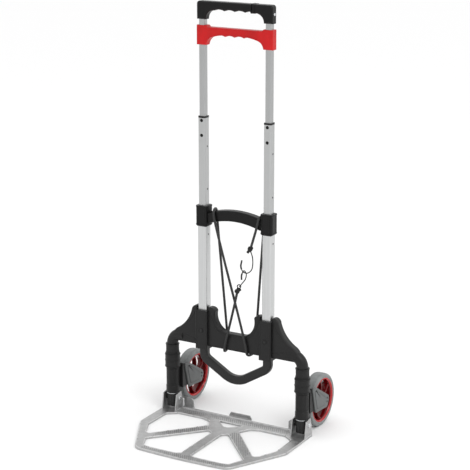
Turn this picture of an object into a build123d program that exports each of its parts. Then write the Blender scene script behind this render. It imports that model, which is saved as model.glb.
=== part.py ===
"""Folding two-wheel hand truck: telescoping handle, swing-in wheels and a fold-up toe plate.

Every piece is modelled about the plane that holds the two uprights and the two swivel posts:
X runs to the right, Y to the rear (the toe plate points to -Y) and Z up from the floor.
The finished pieces are then moved so that the origin lies on the floor, under the middle
of the truck's footprint. Lengths are in millimetres.
"""

from build123d import *
import math
import os

os.makedirs("parts", exist_ok=True)

# ---- overall sizes -----------------------------------------------------------------------
HEIGHT = 1030.0             # top of the hand grip, handle fully drawn out
UPRIGHT_X = 88.3            # each upright, from the middle plane
POST_X = 182.0              # each swivel post, from the middle plane
RUN = 0.05                  # radial running clearance of a pin, post or axle in its bore
SLIDE = 0.3                 # clearance on each side of a square sliding fit
SEAT = 0.1                  # clearance on each side of a piece that is pushed into its seat

# ---- telescoping tubes -------------------------------------------------------------------
INNER_TUBE = 16.0           # across the flats
TUBE_WALL = 1.5
TUBE_GAP = 0.5              # from one tube's outside to the next one's bore
TUBE_CORNER = 4.0
OUTER_TUBE_TOP = 536.0
OUTER_TUBE_BOTTOM = 184.0
MIDDLE_TUBE_TOP = 755.0
MIDDLE_TUBE_BOTTOM = 452.0
INNER_TUBE_BOTTOM = 689.0
RING_HEIGHT = 4.0           # plastic ring that caps the middle tube
GUIDE_HEIGHT = 10.0         # part of a guide plug that stands below its tube
GUIDE_SPIGOT = 12.0         # part of the middle guide plug that fills its tube
STUD_DIAMETER = 7.0
STUD_DROP = 6.0             # ring stud, below the middle tube's top
LOCK_DROP = 42.0            # lock pin, below the middle tube's top
LOCK_PIN_LENGTH = 10.0
LOCK_TRAVEL = 2.0
SIDE_HOLE = 3.5
MIDDLE_SIDE_HOLES = (69.0, 173.0)   # below the middle tube's top
OUTER_SIDE_HOLE = 66.0              # below the outer tube's top

# ---- grip and release bar ----------------------------------------------------------------
GRIP_SOCKET_HEIGHT = 42.5
GRIP_SIDE_WALL = 3.6        # of a socket, beside the inner tube
GRIP_FACE_WALL = 3.6        # in front of it and behind
GRIP_BAR_HEIGHT = 21.0
GRIP_CROWN = 20.0           # solid top of a socket, above the inner tube's end
FINGER_WAVE = 3.0           # depth of one finger wave
FINGER_COUNT = 4
RELEASE_GAP = 13.5          # from the release bar up to the grip sockets
RELEASE_TRAVEL = 12.0
RELEASE_HEIGHT = 46.0
RELEASE_SIDE_WALL = 4.4
RELEASE_FACE_WALL = 2.6
RELEASE_BAR_HEIGHT = 20.0
RELEASE_STEP = 4.0          # the bar's top lies this far below its sleeves
RELEASE_ROD = 5.0
CROSS_PIN = 4.0
GRIP_SCREW = 7.0

# ---- upper crosspiece --------------------------------------------------------------------
COLLAR_HEIGHT = 51.0
COLLAR_WALL = 3.2
COLLAR_CORNER = 5.0
COLLAR_LIP = 6.0            # lip above the outer tube, which guides the middle tube
ARCH_DROP = 16.0            # arch ends, below the collar's top
ARCH_RISE = 12.0
ARCH_HEIGHT = 28.0
ARCH_DEPTH = 22.0

# ---- lower crosspiece --------------------------------------------------------------------
BOX_TOP = 280.0
BOX_BOTTOM = 181.0
BOX_SIDE_WALL = 4.5
BOX_FACE_WALL = 6.0
WEB_DEPTH = 22.0
BEAM_TOP = 230.0
BEAM_BOTTOM = 188.0
WING_HOLLOW = 246.0         # height of a wing's top edge, halfway out
WING_END = 223.0            # and where it meets the elbow
SHOULDER_RISE = 8.0         # the wings stand this far above the boxes
ELBOW_WALL = 3.0            # of the elbow, round the post's core
ELBOW_RADIUS = 28.0
ELBOW_END = 168.0
BOX_SCREW = 8.0
SCREW_HEIGHT = 229.0

# ---- V bar -------------------------------------------------------------------------------
BAR_WIDTH = 22.0
BAR_DEPTH = 20.0
BAR_CORNER = 6.0
BAR_LOWEST = 102.8          # where the two arms' centre lines would meet
BAR_SLOPE = 0.6
BAR_NOSE_RADIUS = 55.0
BAR_BEND_RADIUS = 20.0
BAR_SPIGOT = 30.0

# ---- swivel posts ------------------------------------------------------------------------
POST_CORE = 22.0
COLLAR_RING_STEP = 1.0      # radial step out from the sleeve
COLLAR_RING_TOP = 175.0
SLEEVE_TOP = 150.5
CAM_STEP = 3.25
CAM_BOTTOM = 114.0
SLEEVE_WALL = 4.5
FLANGE_STEP = 1.5
FLANGE_TOP = 66.0
SLEEVE_BOTTOM = 47.4
WASHER_HEIGHT = 2.2
FOOT_SIDE_STEP = 1.5        # the foot's sides stand this far outside the core
FOOT_FACE_STEP = 1.0
FOOT_SWING = 25.0           # radius of the foot's rounded end about the plate pin
STEP_GAP = 0.2              # axial gap at the washer and at the post collar

# ---- wheels and forks --------------------------------------------------------------------
WHEEL_RADIUS = 66.0
WHEEL_GAP = 2.5             # from the fork's cross wall to the tyre
WHEEL_INSET = 3.0           # wheel's middle plane, inboard of the post axis
TYRE_WIDTH = 27.0
TYRE_THICKNESS = 13.0
RIM_STEP = 1.5              # each side of the rim lies this far inside the tyre's
RIM_WALL = 5.0
HUB_DIAMETER = 26.0
HUB_GAP = 0.3               # from the hub to each arm
SPOKE_COUNT = 6
SPOKE_WIDTH = 6.0
SPOKE_DEPTH = 14.0
BUSH_WALL = 2.5
AXLE_DIAMETER = 8.0
AXLE_HEAD_STEP = 2.5
AXLE_HEAD_HEIGHT = 2.0
TYRE_GAP = 2.0              # from the tyre's side to an arm
ARM_THICKNESS = 2.5
COVER_THICKNESS = 4.0
COVER_BORDER = 1.5          # the cover's outline stands this far outside the arm's
WEB_THICKNESS = 6.5         # of the fork's cross wall
WEB_STEP = 0.75             # its rear face, behind the cam

# ---- toe plate ---------------------------------------------------------------------------
PLATE_MARGIN = 1.4          # plate's side edge, outside the outer ear
PLATE_REACH = 268.0         # front edge, from the post axis
PLATE_REAR = 16.0
PLATE_TOP = 5.0
PLATE_SHEET = 2.5
PLATE_LIP = 2.0
PIN_HEIGHT = 32.0
PIN_DIAMETER = 8.0
PIN_HEAD_STEP = 2.0
PIN_HEAD_HEIGHT = 2.0
EAR_GAP = 0.6               # from the sleeve's flange to an ear
EAR_THICKNESS = 2.5
EAR_TOP = 49.0
BEAD_HEIGHT = 4.0
BEAD_WIDTH = 7.0
BEAD_HALF_LENGTH = 156.0
SIDE_TAB_TOP = 30.0
CENTRE_TAB_TOP = 14.0

# ---- bungee cord -------------------------------------------------------------------------
CORD_DIAMETER = 6.0
CORD_GAP = 0.3              # between the cord and what it goes round
HOOK_WIRE = 2.6
KNOT_DIAMETER = 12.0
KNOT_LENGTH = 14.0

# ---- places worked out from the sizes ----------------------------------------------------
MIDDLE_TUBE = INNER_TUBE + 2 * (TUBE_WALL + TUBE_GAP)
OUTER_TUBE = MIDDLE_TUBE + 2 * (TUBE_WALL + TUBE_GAP)
GRIP_SOCKET_WIDTH = INNER_TUBE + 2 * GRIP_SIDE_WALL
GRIP_DEPTH = INNER_TUBE + 2 * GRIP_FACE_WALL
RELEASE_WIDTH = INNER_TUBE + 2 * RELEASE_SIDE_WALL
RELEASE_DEPTH = INNER_TUBE + 2 * RELEASE_FACE_WALL
COLLAR_WIDTH = OUTER_TUBE + 2 * COLLAR_WALL
BOX_WIDTH = OUTER_TUBE + 2 * BOX_SIDE_WALL
BOX_DEPTH = OUTER_TUBE + 2 * BOX_FACE_WALL
SLEEVE_DIAMETER = POST_CORE + 2 * SLEEVE_WALL
CAM_DIAMETER = SLEEVE_DIAMETER + 2 * CAM_STEP
FLANGE_DIAMETER = SLEEVE_DIAMETER + 2 * FLANGE_STEP
COLLAR_RING_DIAMETER = SLEEVE_DIAMETER + 2 * COLLAR_RING_STEP
ELBOW_DIAMETER = POST_CORE + 2 * ELBOW_WALL
FOOT_WIDTH = POST_CORE + 2 * FOOT_SIDE_STEP
FOOT_DEPTH = POST_CORE + 2 * FOOT_FACE_STEP
ARM_GAP = TYRE_WIDTH / 2 + TYRE_GAP     # inner face of each arm, from the wheel's middle plane
HUB_WIDTH = 2 * (ARM_GAP - HUB_GAP)
RIM_RADIUS = WHEEL_RADIUS - TYRE_THICKNESS
RIM_WIDTH = TYRE_WIDTH - 2 * RIM_STEP
BUSH_DIAMETER = AXLE_DIAMETER + 2 * BUSH_WALL
AXLE_HEAD = AXLE_DIAMETER + 2 * AXLE_HEAD_STEP
PIN_HEAD = PIN_DIAMETER + 2 * PIN_HEAD_STEP
WEB_REAR = CAM_DIAMETER / 2 + WEB_STEP  # the fork's cross wall, from the post axis
WEB_FRONT = WEB_REAR - WEB_THICKNESS
WHEEL_TRAIL = WEB_REAR + WHEEL_GAP + WHEEL_RADIUS   # wheel axis behind the post axis
WHEEL_X = POST_X - WHEEL_INSET
EAR_OFFSET = FLANGE_DIAMETER / 2 + EAR_GAP          # inner face of each ear, from the post axis
PLATE_HALF_WIDTH = POST_X + EAR_OFFSET + EAR_THICKNESS + PLATE_MARGIN
ORIGIN_SHIFT = (PLATE_REACH - (WHEEL_TRAIL + WHEEL_RADIUS)) / 2
COLLAR_TOP = OUTER_TUBE_TOP + COLLAR_LIP
COLLAR_BOTTOM = COLLAR_TOP - COLLAR_HEIGHT
GRIP_BOTTOM = HEIGHT - GRIP_SOCKET_HEIGHT
INNER_TUBE_TOP = HEIGHT - GRIP_CROWN
RELEASE_TOP = GRIP_BOTTOM - RELEASE_GAP
RELEASE_BOTTOM = RELEASE_TOP - RELEASE_HEIGHT
LOCK_Z = MIDDLE_TUBE_TOP - LOCK_DROP
INNER_BORE = INNER_TUBE - 2 * TUBE_WALL
MIDDLE_BORE = MIDDLE_TUBE - 2 * TUBE_WALL
OUTER_BORE = OUTER_TUBE - 2 * TUBE_WALL
GUIDE_CORNER = TUBE_CORNER - TUBE_WALL - SLIDE
LOCK_TIP = SEAT - MIDDLE_BORE / 2
LOCK_PIN_BACK = LOCK_TIP + LOCK_PIN_LENGTH
COVER_OUTSIDE = ARM_GAP + ARM_THICKNESS + COVER_THICKNESS
ARCH_END_TOP = COLLAR_TOP - ARCH_DROP
CORD_OFFSET = CORD_DIAMETER / 2 + CORD_GAP


# ---- helpers -----------------------------------------------------------------------------
def save(name, *solids):
    """Move the solids to the part's own frame and write them as one node."""
    moved = [Pos(0, ORIGIN_SHIFT, 0) * solid for solid in solids]
    shape = moved[0] if len(moved) == 1 else Compound(children=[Part() + solid for solid in moved])
    shape.label = name
    export_step(shape, f"parts/{name}.step")


def save_pair(name, right_solid):
    """Write a right-hand piece and its mirror image as two nodes."""
    save(f"{name}_right", right_solid)
    save(f"{name}_left", mirror(right_solid, about=Plane.YZ))


def both_sides(right_solid):
    """A right-hand piece and its mirror image, for a node that holds both."""
    return [right_solid, mirror(right_solid, about=Plane.YZ)]


def square_bar(width, depth, corner, bottom, top, x=0.0):
    """Upright bar with a rounded rectangular section."""
    section = RectangleRounded(width, depth, corner)
    return Pos(x, 0, bottom) * extrude(section, top - bottom)


def square_tube(size, bottom, top, x):
    """Upright square tube with rounded corners."""
    bore = size - 2 * TUBE_WALL
    outside = square_bar(size, size, TUBE_CORNER, bottom, top, x)
    return outside - square_bar(bore, bore, TUBE_CORNER - TUBE_WALL, bottom - 1, top + 1, x)


def rod(diameter, start, end):
    """Round rod between two points."""
    start, end = Vector(*start), Vector(*end)
    plane = Plane(origin=start, z_dir=end - start)
    return extrude(plane * Circle(diameter / 2), (end - start).length)


def ring(outer, inner, bottom, top, x, y=0.0):
    """Upright round ring."""
    solid = rod(outer, (x, y, bottom), (x, y, top))
    return solid - rod(inner, (x, y, bottom - 1), (x, y, top + 1))


def front_shape(outline, depth, corner=0.0):
    """Extrude a closed outline, drawn in X and Z, to both sides of the uprights' plane."""
    face = make_face(outline)
    if corner:
        face = fillet([vertex for vertex in face.vertices() if abs(vertex.X) > 1], corner)
    return extrude(Plane.XZ * face, depth / 2, both=True)


def side_shape(points, radius, x_start, x_end):
    """Extrude a polygon, drawn in Y and Z with rounded corners, from one X to another."""
    face = make_face(Polyline(*points, close=True))
    if radius:
        face = fillet(face.vertices(), radius)
    return Pos(x_start, 0, 0) * extrude(Plane.YZ * face, x_end - x_start)


def soften(solid, radius):
    """Round the front and rear outline edges of a shape drawn in X and Z."""
    edges = solid.edges().group_by(Axis.Y)
    return fillet(edges[0] + edges[-1], radius)


def mirrored_outline(points_and_arcs):
    """Close a right-hand outline with its mirror image across X = 0."""
    right = list(points_and_arcs)
    return right + [mirror(edge, about=Plane.YZ) for edge in right]


# ---- telescoping tubes -------------------------------------------------------------------
def outer_tube():
    tube = square_tube(OUTER_TUBE, OUTER_TUBE_BOTTOM, OUTER_TUBE_TOP, UPRIGHT_X)
    hole_z = OUTER_TUBE_TOP - OUTER_SIDE_HOLE
    reach = OUTER_TUBE
    hole = rod(SIDE_HOLE, (UPRIGHT_X - reach, 0, hole_z), (UPRIGHT_X + reach, 0, hole_z))
    screw_y = BOX_DEPTH / 2
    screw_bore = rod(BOX_SCREW / 2 + 2 * SEAT, (UPRIGHT_X, -screw_y, SCREW_HEIGHT), (UPRIGHT_X, 0, SCREW_HEIGHT))
    return tube - hole - screw_bore


def middle_tube():
    tube = square_tube(MIDDLE_TUBE, MIDDLE_TUBE_BOTTOM, MIDDLE_TUBE_TOP, UPRIGHT_X)
    for drop in (STUD_DROP, LOCK_DROP):
        z = MIDDLE_TUBE_TOP - drop
        tube -= rod(STUD_DIAMETER, (UPRIGHT_X, -MIDDLE_TUBE, z), (UPRIGHT_X, 0, z))
    for drop in MIDDLE_SIDE_HOLES:
        z = MIDDLE_TUBE_TOP - drop
        tube -= rod(SIDE_HOLE, (UPRIGHT_X - MIDDLE_TUBE, 0, z), (UPRIGHT_X + MIDDLE_TUBE, 0, z))
    return tube


def inner_tube():
    tube = square_tube(INNER_TUBE, INNER_TUBE_BOTTOM, INNER_TUBE_TOP, UPRIGHT_X)
    tube -= rod(STUD_DIAMETER + 2 * RUN, (UPRIGHT_X, -INNER_TUBE, LOCK_Z), (UPRIGHT_X, 0, LOCK_Z))
    slot_width = CROSS_PIN + 2 * SEAT
    slot = Box(INNER_TUBE, slot_width, RELEASE_TRAVEL + slot_width + 1)
    slot_z = cross_pin_height() + RELEASE_TRAVEL / 2
    return tube - Pos(UPRIGHT_X - INNER_TUBE / 2, 0, slot_z) * slot


def cross_pin_height():
    return RELEASE_TOP - RELEASE_HEIGHT / 2


def tube_ring():
    """Plastic ring on the middle tube's top, which guides the inner tube."""
    size = MIDDLE_TUBE + 2 * SLIDE
    top = MIDDLE_TUBE_TOP + RING_HEIGHT
    body = square_bar(size, size, TUBE_CORNER, MIDDLE_TUBE_TOP, top, UPRIGHT_X)
    bore = INNER_TUBE + 2 * SLIDE
    return body - square_bar(bore, bore, TUBE_CORNER, MIDDLE_TUBE_TOP - 1, top + 1, UPRIGHT_X)


def ring_stud():
    """Round stud that shows in the middle tube's upper front hole."""
    z = MIDDLE_TUBE_TOP - STUD_DROP
    front = -MIDDLE_TUBE / 2
    return rod(STUD_DIAMETER - 2 * RUN, (UPRIGHT_X, front, z), (UPRIGHT_X, front + TUBE_WALL, z))


def middle_guide():
    """Plug in the foot of the middle tube, which slides in the outer tube."""
    size = OUTER_BORE - 2 * SLIDE
    head = square_bar(size, size, GUIDE_CORNER, MIDDLE_TUBE_BOTTOM - GUIDE_HEIGHT, MIDDLE_TUBE_BOTTOM, UPRIGHT_X)
    spigot = MIDDLE_BORE - 2 * SEAT
    return head + square_bar(spigot, spigot, 2.5, MIDDLE_TUBE_BOTTOM, MIDDLE_TUBE_BOTTOM + GUIDE_SPIGOT, UPRIGHT_X)


def inner_guide():
    """Plug in the foot of the inner tube; its spigot carries the lock pin."""
    size = MIDDLE_BORE - 2 * SLIDE
    head = square_bar(size, size, GUIDE_CORNER, INNER_TUBE_BOTTOM - GUIDE_HEIGHT, INNER_TUBE_BOTTOM, UPRIGHT_X)
    spigot = INNER_BORE - 2 * SEAT
    body = head + square_bar(spigot, spigot, 2.4, INNER_TUBE_BOTTOM, LOCK_Z + 11, UPRIGHT_X)
    bore_end = LOCK_PIN_BACK + LOCK_TRAVEL + 1
    return body - rod(STUD_DIAMETER + 2 * RUN, (UPRIGHT_X, -INNER_TUBE, LOCK_Z), (UPRIGHT_X, bore_end, LOCK_Z))


def lock_pin():
    """Sprung pin at the inner tube's foot, drawn back by the release rod."""
    return rod(STUD_DIAMETER, (UPRIGHT_X, LOCK_TIP, LOCK_Z), (UPRIGHT_X, LOCK_PIN_BACK, LOCK_Z))


# ---- grip and release bar ----------------------------------------------------------------
def finger_waves(left_x, right_x, z, depth):
    """Row of arcs, from right to left, that bulge down between the finger hollows."""
    step = (right_x - left_x) / FINGER_COUNT
    arcs = []
    for index in range(FINGER_COUNT):
        start = right_x - index * step
        arcs.append(ThreePointArc((start, z), (start - step / 2, z + depth), (start - step, z)))
    return arcs


def hand_grip():
    """Top grip: two sockets and a bar with finger waves, moulded in one piece."""
    outer = UPRIGHT_X + GRIP_SOCKET_WIDTH / 2
    inner = UPRIGHT_X - GRIP_SOCKET_WIDTH / 2
    bar_bottom = HEIGHT - GRIP_BAR_HEIGHT
    wave_end = inner - 22
    corner = 7.0
    outline = [
        Line((-outer, GRIP_BOTTOM), (-outer, HEIGHT - corner)),
        ThreePointArc((-outer, HEIGHT - corner), (-outer + 2.05, HEIGHT - 2.05), (-outer + corner, HEIGHT)),
        Line((-outer + corner, HEIGHT), (outer - corner, HEIGHT)),
        ThreePointArc((outer - corner, HEIGHT), (outer - 2.05, HEIGHT - 2.05), (outer, HEIGHT - corner)),
        Line((outer, HEIGHT - corner), (outer, GRIP_BOTTOM)),
        Line((outer, GRIP_BOTTOM), (inner, GRIP_BOTTOM)),
        ThreePointArc((inner, GRIP_BOTTOM), (inner - 6, bar_bottom - 6), (wave_end, bar_bottom)),
        *finger_waves(-wave_end, wave_end, bar_bottom, FINGER_WAVE),
        ThreePointArc((-wave_end, bar_bottom), (-inner + 6, bar_bottom - 6), (-inner, GRIP_BOTTOM)),
        Line((-inner, GRIP_BOTTOM), (-outer, GRIP_BOTTOM)),
    ]
    body = soften(front_shape(outline, GRIP_DEPTH), 5)
    bore = INNER_TUBE + 2 * SEAT
    for x in (-UPRIGHT_X, UPRIGHT_X):
        body -= square_bar(bore, bore, TUBE_CORNER, GRIP_BOTTOM - 1, INNER_TUBE_TOP, x)
    return body


def grip_screw():
    """Round-headed screw in the outer side of a grip socket."""
    x = UPRIGHT_X + GRIP_SOCKET_WIDTH / 2
    z = GRIP_BOTTOM + GRIP_SOCKET_HEIGHT / 2
    head = rod(GRIP_SCREW, (x, 0, z), (x + 1.6, 0, z))
    return fillet(head.edges().group_by(Axis.X)[-1], 1.2)


def release_bar():
    """Finger bar whose sleeves slide on the inner tubes."""
    outer = UPRIGHT_X + RELEASE_WIDTH / 2
    inner = UPRIGHT_X - RELEASE_WIDTH / 2
    bar_top = RELEASE_TOP - RELEASE_STEP
    bar_bottom = bar_top - RELEASE_BAR_HEIGHT
    wave_end = inner - 26
    outline = [
        Line((-outer, RELEASE_BOTTOM), (-outer, RELEASE_TOP)),
        Line((-outer, RELEASE_TOP), (-inner, RELEASE_TOP)),
        Line((-inner, RELEASE_TOP), (-inner + RELEASE_STEP, bar_top)),
        Line((-inner + RELEASE_STEP, bar_top), (inner - RELEASE_STEP, bar_top)),
        Line((inner - RELEASE_STEP, bar_top), (inner, RELEASE_TOP)),
        Line((inner, RELEASE_TOP), (outer, RELEASE_TOP)),
        Line((outer, RELEASE_TOP), (outer, RELEASE_BOTTOM)),
        Line((outer, RELEASE_BOTTOM), (inner, RELEASE_BOTTOM)),
        ThreePointArc((inner, RELEASE_BOTTOM), (inner - 9, bar_bottom - 6), (wave_end, bar_bottom)),
        *finger_waves(-wave_end, wave_end, bar_bottom, FINGER_WAVE),
        ThreePointArc((-wave_end, bar_bottom), (-inner + 9, bar_bottom - 6), (-inner, RELEASE_BOTTOM)),
        Line((-inner, RELEASE_BOTTOM), (-outer, RELEASE_BOTTOM)),
    ]
    body = soften(front_shape(outline, RELEASE_DEPTH), 3)
    bore = INNER_TUBE + 2 * SLIDE
    for x in (-UPRIGHT_X, UPRIGHT_X):
        body -= square_bar(bore, bore, TUBE_CORNER, RELEASE_BOTTOM - 1, RELEASE_TOP + 1, x)
        side = math.copysign(1, x)
        z = cross_pin_height()
        body -= rod(CROSS_PIN, (x, 0, z), (x - side * (RELEASE_WIDTH / 2 - 1), 0, z))
    return body


def release_rod():
    """Pull rod inside the inner tube, from the release bar down to the lock pin."""
    return rod(RELEASE_ROD, (UPRIGHT_X, 0, LOCK_Z + 13), (UPRIGHT_X, 0, RELEASE_TOP - 10))


def cross_pin():
    """Pin from the release bar's sleeve, through the tube's slot, to the pull rod."""
    z = cross_pin_height()
    start = UPRIGHT_X - RELEASE_WIDTH / 2 + 1
    return rod(CROSS_PIN - 2 * RUN, (start, 0, z), (UPRIGHT_X - RELEASE_ROD / 2 - SEAT, 0, z))


# ---- upper crosspiece --------------------------------------------------------------------
def arch_top(x):
    """Height of the arch's top at a distance from the middle plane."""
    half = UPRIGHT_X - COLLAR_WIDTH / 2
    return ARCH_END_TOP + ARCH_RISE * (1 - (x / half) ** 2)


def upper_crosspiece():
    """Arched crosspiece with a collar on each outer tube's top."""
    half = UPRIGHT_X - COLLAR_WIDTH / 2 + 1
    low = ARCH_END_TOP - ARCH_HEIGHT
    outline = [
        ThreePointArc((-half, ARCH_END_TOP), (0, ARCH_END_TOP + ARCH_RISE), (half, ARCH_END_TOP)),
        Line((half, ARCH_END_TOP), (half, low)),
        ThreePointArc((half, low), (0, low + ARCH_RISE + 2), (-half, low)),
        Line((-half, low), (-half, ARCH_END_TOP)),
    ]
    body = soften(front_shape(outline, ARCH_DEPTH), 4.5)
    for x in (-UPRIGHT_X, UPRIGHT_X):
        collar = square_bar(COLLAR_WIDTH, COLLAR_WIDTH, COLLAR_CORNER, COLLAR_BOTTOM, COLLAR_TOP, x)
        body += chamfer(collar.edges().group_by(Axis.Z)[0], 2)
    for x in (-UPRIGHT_X, UPRIGHT_X):
        seat = OUTER_TUBE + 2 * SEAT
        body -= square_bar(seat, seat, TUBE_CORNER, COLLAR_BOTTOM - 1, OUTER_TUBE_TOP, x)
        guide = MIDDLE_TUBE + 2 * SLIDE
        body -= square_bar(guide, guide, TUBE_CORNER, OUTER_TUBE_TOP - 1, COLLAR_TOP + 1, x)
    return body


# ---- lower crosspiece --------------------------------------------------------------------
def lower_crosspiece():
    """Moulded crosspiece: tube boxes, a middle beam, and wings that end in post elbows."""
    box_in = UPRIGHT_X - BOX_WIDTH / 2
    box_out = UPRIGHT_X + BOX_WIDTH / 2
    crest = BOX_TOP + SHOULDER_RISE
    elbow_x = POST_X - ELBOW_RADIUS
    elbow_z = COLLAR_RING_TOP + ELBOW_RADIUS
    right = [
        Line((0, BEAM_TOP), (24, BEAM_TOP)),
        ThreePointArc((24, BEAM_TOP), (44, BEAM_TOP + 12), (box_in - 18, BOX_TOP)),
        ThreePointArc((box_in - 18, BOX_TOP), (box_in - 13, crest - 2), (box_in - 7, crest)),
        Line((box_in - 7, crest), (box_out + 5, crest)),
        ThreePointArc((box_out + 5, crest), (box_out + 12, crest - 4), (box_out + 16, crest - 13)),
        ThreePointArc((box_out + 16, crest - 13), (box_out + 30, WING_HOLLOW), (elbow_x + 6, WING_END)),
        ThreePointArc((elbow_x + 6, WING_END), (elbow_x + 14, WING_END - 6), (elbow_x + 20, WING_END - 15)),
        Line((elbow_x + 20, WING_END - 15), (elbow_x + 20, BEAM_BOTTOM)),
        Line((elbow_x + 20, BEAM_BOTTOM), (0, BEAM_BOTTOM)),
    ]
    body = soften(front_shape(mirrored_outline(right), WEB_DEPTH, 3), 4.5)
    for side in (-1, 1):
        body += square_bar(BOX_WIDTH, BOX_DEPTH, 2, BOX_BOTTOM, BOX_TOP, side * UPRIGHT_X)
    path = FilletPolyline((elbow_x - 8, 0, elbow_z), (POST_X, 0, elbow_z), (POST_X, 0, ELBOW_END),
                          radius=ELBOW_RADIUS)
    elbow = sweep(Plane(origin=path @ 0, z_dir=path % 0) * Circle(ELBOW_DIAMETER / 2), path)
    body += elbow + mirror(elbow, about=Plane.YZ)
    seat = OUTER_TUBE + 2 * SEAT
    for x in (-UPRIGHT_X, UPRIGHT_X):
        body -= square_bar(seat, seat, TUBE_CORNER, OUTER_TUBE_BOTTOM, crest + 1, x)
        body -= Pos(x, 0, crest) * Box(BOX_WIDTH, BOX_DEPTH, 2 * SHOULDER_RISE)
        body -= square_bar(BAR_WIDTH + 2 * SEAT, BAR_DEPTH + 2 * SEAT, BAR_CORNER, BOX_BOTTOM - 1,
                           OUTER_TUBE_BOTTOM + 1, x)
        body -= rod(BOX_SCREW / 2 + 2 * SEAT, (x, -BOX_DEPTH, SCREW_HEIGHT), (x, 0, SCREW_HEIGHT))
    return body


def box_screw():
    """Round-headed screw that holds the crosspiece on the outer tube."""
    face = -BOX_DEPTH / 2
    head = rod(BOX_SCREW, (UPRIGHT_X, face - 1.5, SCREW_HEIGHT), (UPRIGHT_X, face, SCREW_HEIGHT))
    head = fillet(head.edges().group_by(Axis.Y)[0], 1)
    shank_end = -OUTER_BORE / 2 + 3
    return head + rod(BOX_SCREW / 2, (UPRIGHT_X, face, SCREW_HEIGHT), (UPRIGHT_X, shank_end, SCREW_HEIGHT))


def v_bar():
    """Bent bar that joins the feet of the two outer tubes, clear of the folded wheels."""
    bend_z = BAR_LOWEST + BAR_SLOPE * UPRIGHT_X
    path = FilletPolyline(
        (-UPRIGHT_X, 0, OUTER_TUBE_BOTTOM), (-UPRIGHT_X, 0, bend_z), (0, 0, BAR_LOWEST),
        (UPRIGHT_X, 0, bend_z), (UPRIGHT_X, 0, OUTER_TUBE_BOTTOM),
        radius=[BAR_BEND_RADIUS, BAR_NOSE_RADIUS, BAR_BEND_RADIUS])
    section = Plane(origin=path @ 0, x_dir=(1, 0, 0), z_dir=path % 0) * RectangleRounded(
        BAR_WIDTH, BAR_DEPTH, BAR_CORNER)
    bar = sweep(section, path)
    spigot = OUTER_BORE - 4 * SEAT
    for x in (-UPRIGHT_X, UPRIGHT_X):
        bar += square_bar(spigot, BAR_DEPTH, 2.5, OUTER_TUBE_BOTTOM, OUTER_TUBE_BOTTOM + BAR_SPIGOT, x)
    return bar


# ---- swivel posts ------------------------------------------------------------------------
def swivel_post():
    """Fixed post: the foot that the toe plate hinges on, and the core the fork turns on."""
    shoulder = SLEEVE_BOTTOM - WASHER_HEIGHT - STEP_GAP
    foot = square_bar(FOOT_WIDTH, FOOT_DEPTH, 1.5, PIN_HEIGHT, shoulder, POST_X)
    lower = square_bar(FOOT_WIDTH, FOOT_DEPTH, 1.5, 0, PIN_HEIGHT, POST_X)
    swing = rod(2 * FOOT_SWING, (POST_X - FOOT_WIDTH, 0, PIN_HEIGHT), (POST_X + FOOT_WIDTH, 0, PIN_HEIGHT))
    foot += lower & swing
    for offset in (-6, 6):
        groove = Box(3, 4, shoulder)
        foot -= Pos(POST_X + offset, -FOOT_DEPTH / 2, shoulder / 2 - 3) * groove
    foot += rod(POST_CORE, (POST_X, 0, shoulder), (POST_X, 0, ELBOW_END))
    bore = PIN_DIAMETER + 2 * RUN
    return foot - rod(bore, (POST_X - FOOT_WIDTH, 0, PIN_HEIGHT), (POST_X + FOOT_WIDTH, 0, PIN_HEIGHT))


def thrust_washer():
    bottom = SLEEVE_BOTTOM - WASHER_HEIGHT - STEP_GAP
    return ring(FLANGE_DIAMETER, POST_CORE + 4 * RUN, bottom, bottom + WASHER_HEIGHT, POST_X)


def post_collar():
    """Fixed ring between the crosspiece's elbow and the turning sleeve."""
    bottom = SLEEVE_TOP + STEP_GAP
    body = rod(COLLAR_RING_DIAMETER, (POST_X, 0, bottom), (POST_X, 0, COLLAR_RING_TOP))
    body = chamfer(body.edges().group_by(Axis.Z)[-1], 0.8)
    body -= rod(POST_CORE + 2 * RUN, (POST_X, 0, bottom - 1), (POST_X, 0, COLLAR_RING_TOP + 1))
    return body - rod(ELBOW_DIAMETER + 2 * RUN, (POST_X, 0, ELBOW_END), (POST_X, 0, COLLAR_RING_TOP + 1))


# ---- wheel fork --------------------------------------------------------------------------
def arm_points(border):
    """Side outline of a fork arm; border grows it to the cover's outline."""
    axle_y, axle_z = WHEEL_TRAIL, WHEEL_RADIUS
    return [
        (WEB_REAR - 4 - border, axle_z + 53 + border), (axle_y - 55, axle_z + 50 + border),
        (axle_y + 5 + border, axle_z + 12 + border), (axle_y + 10 + border, axle_z),
        (axle_y + border, axle_z - 15 - border), (WEB_REAR - 1 - border, axle_z - 8 - border),
    ]


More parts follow.
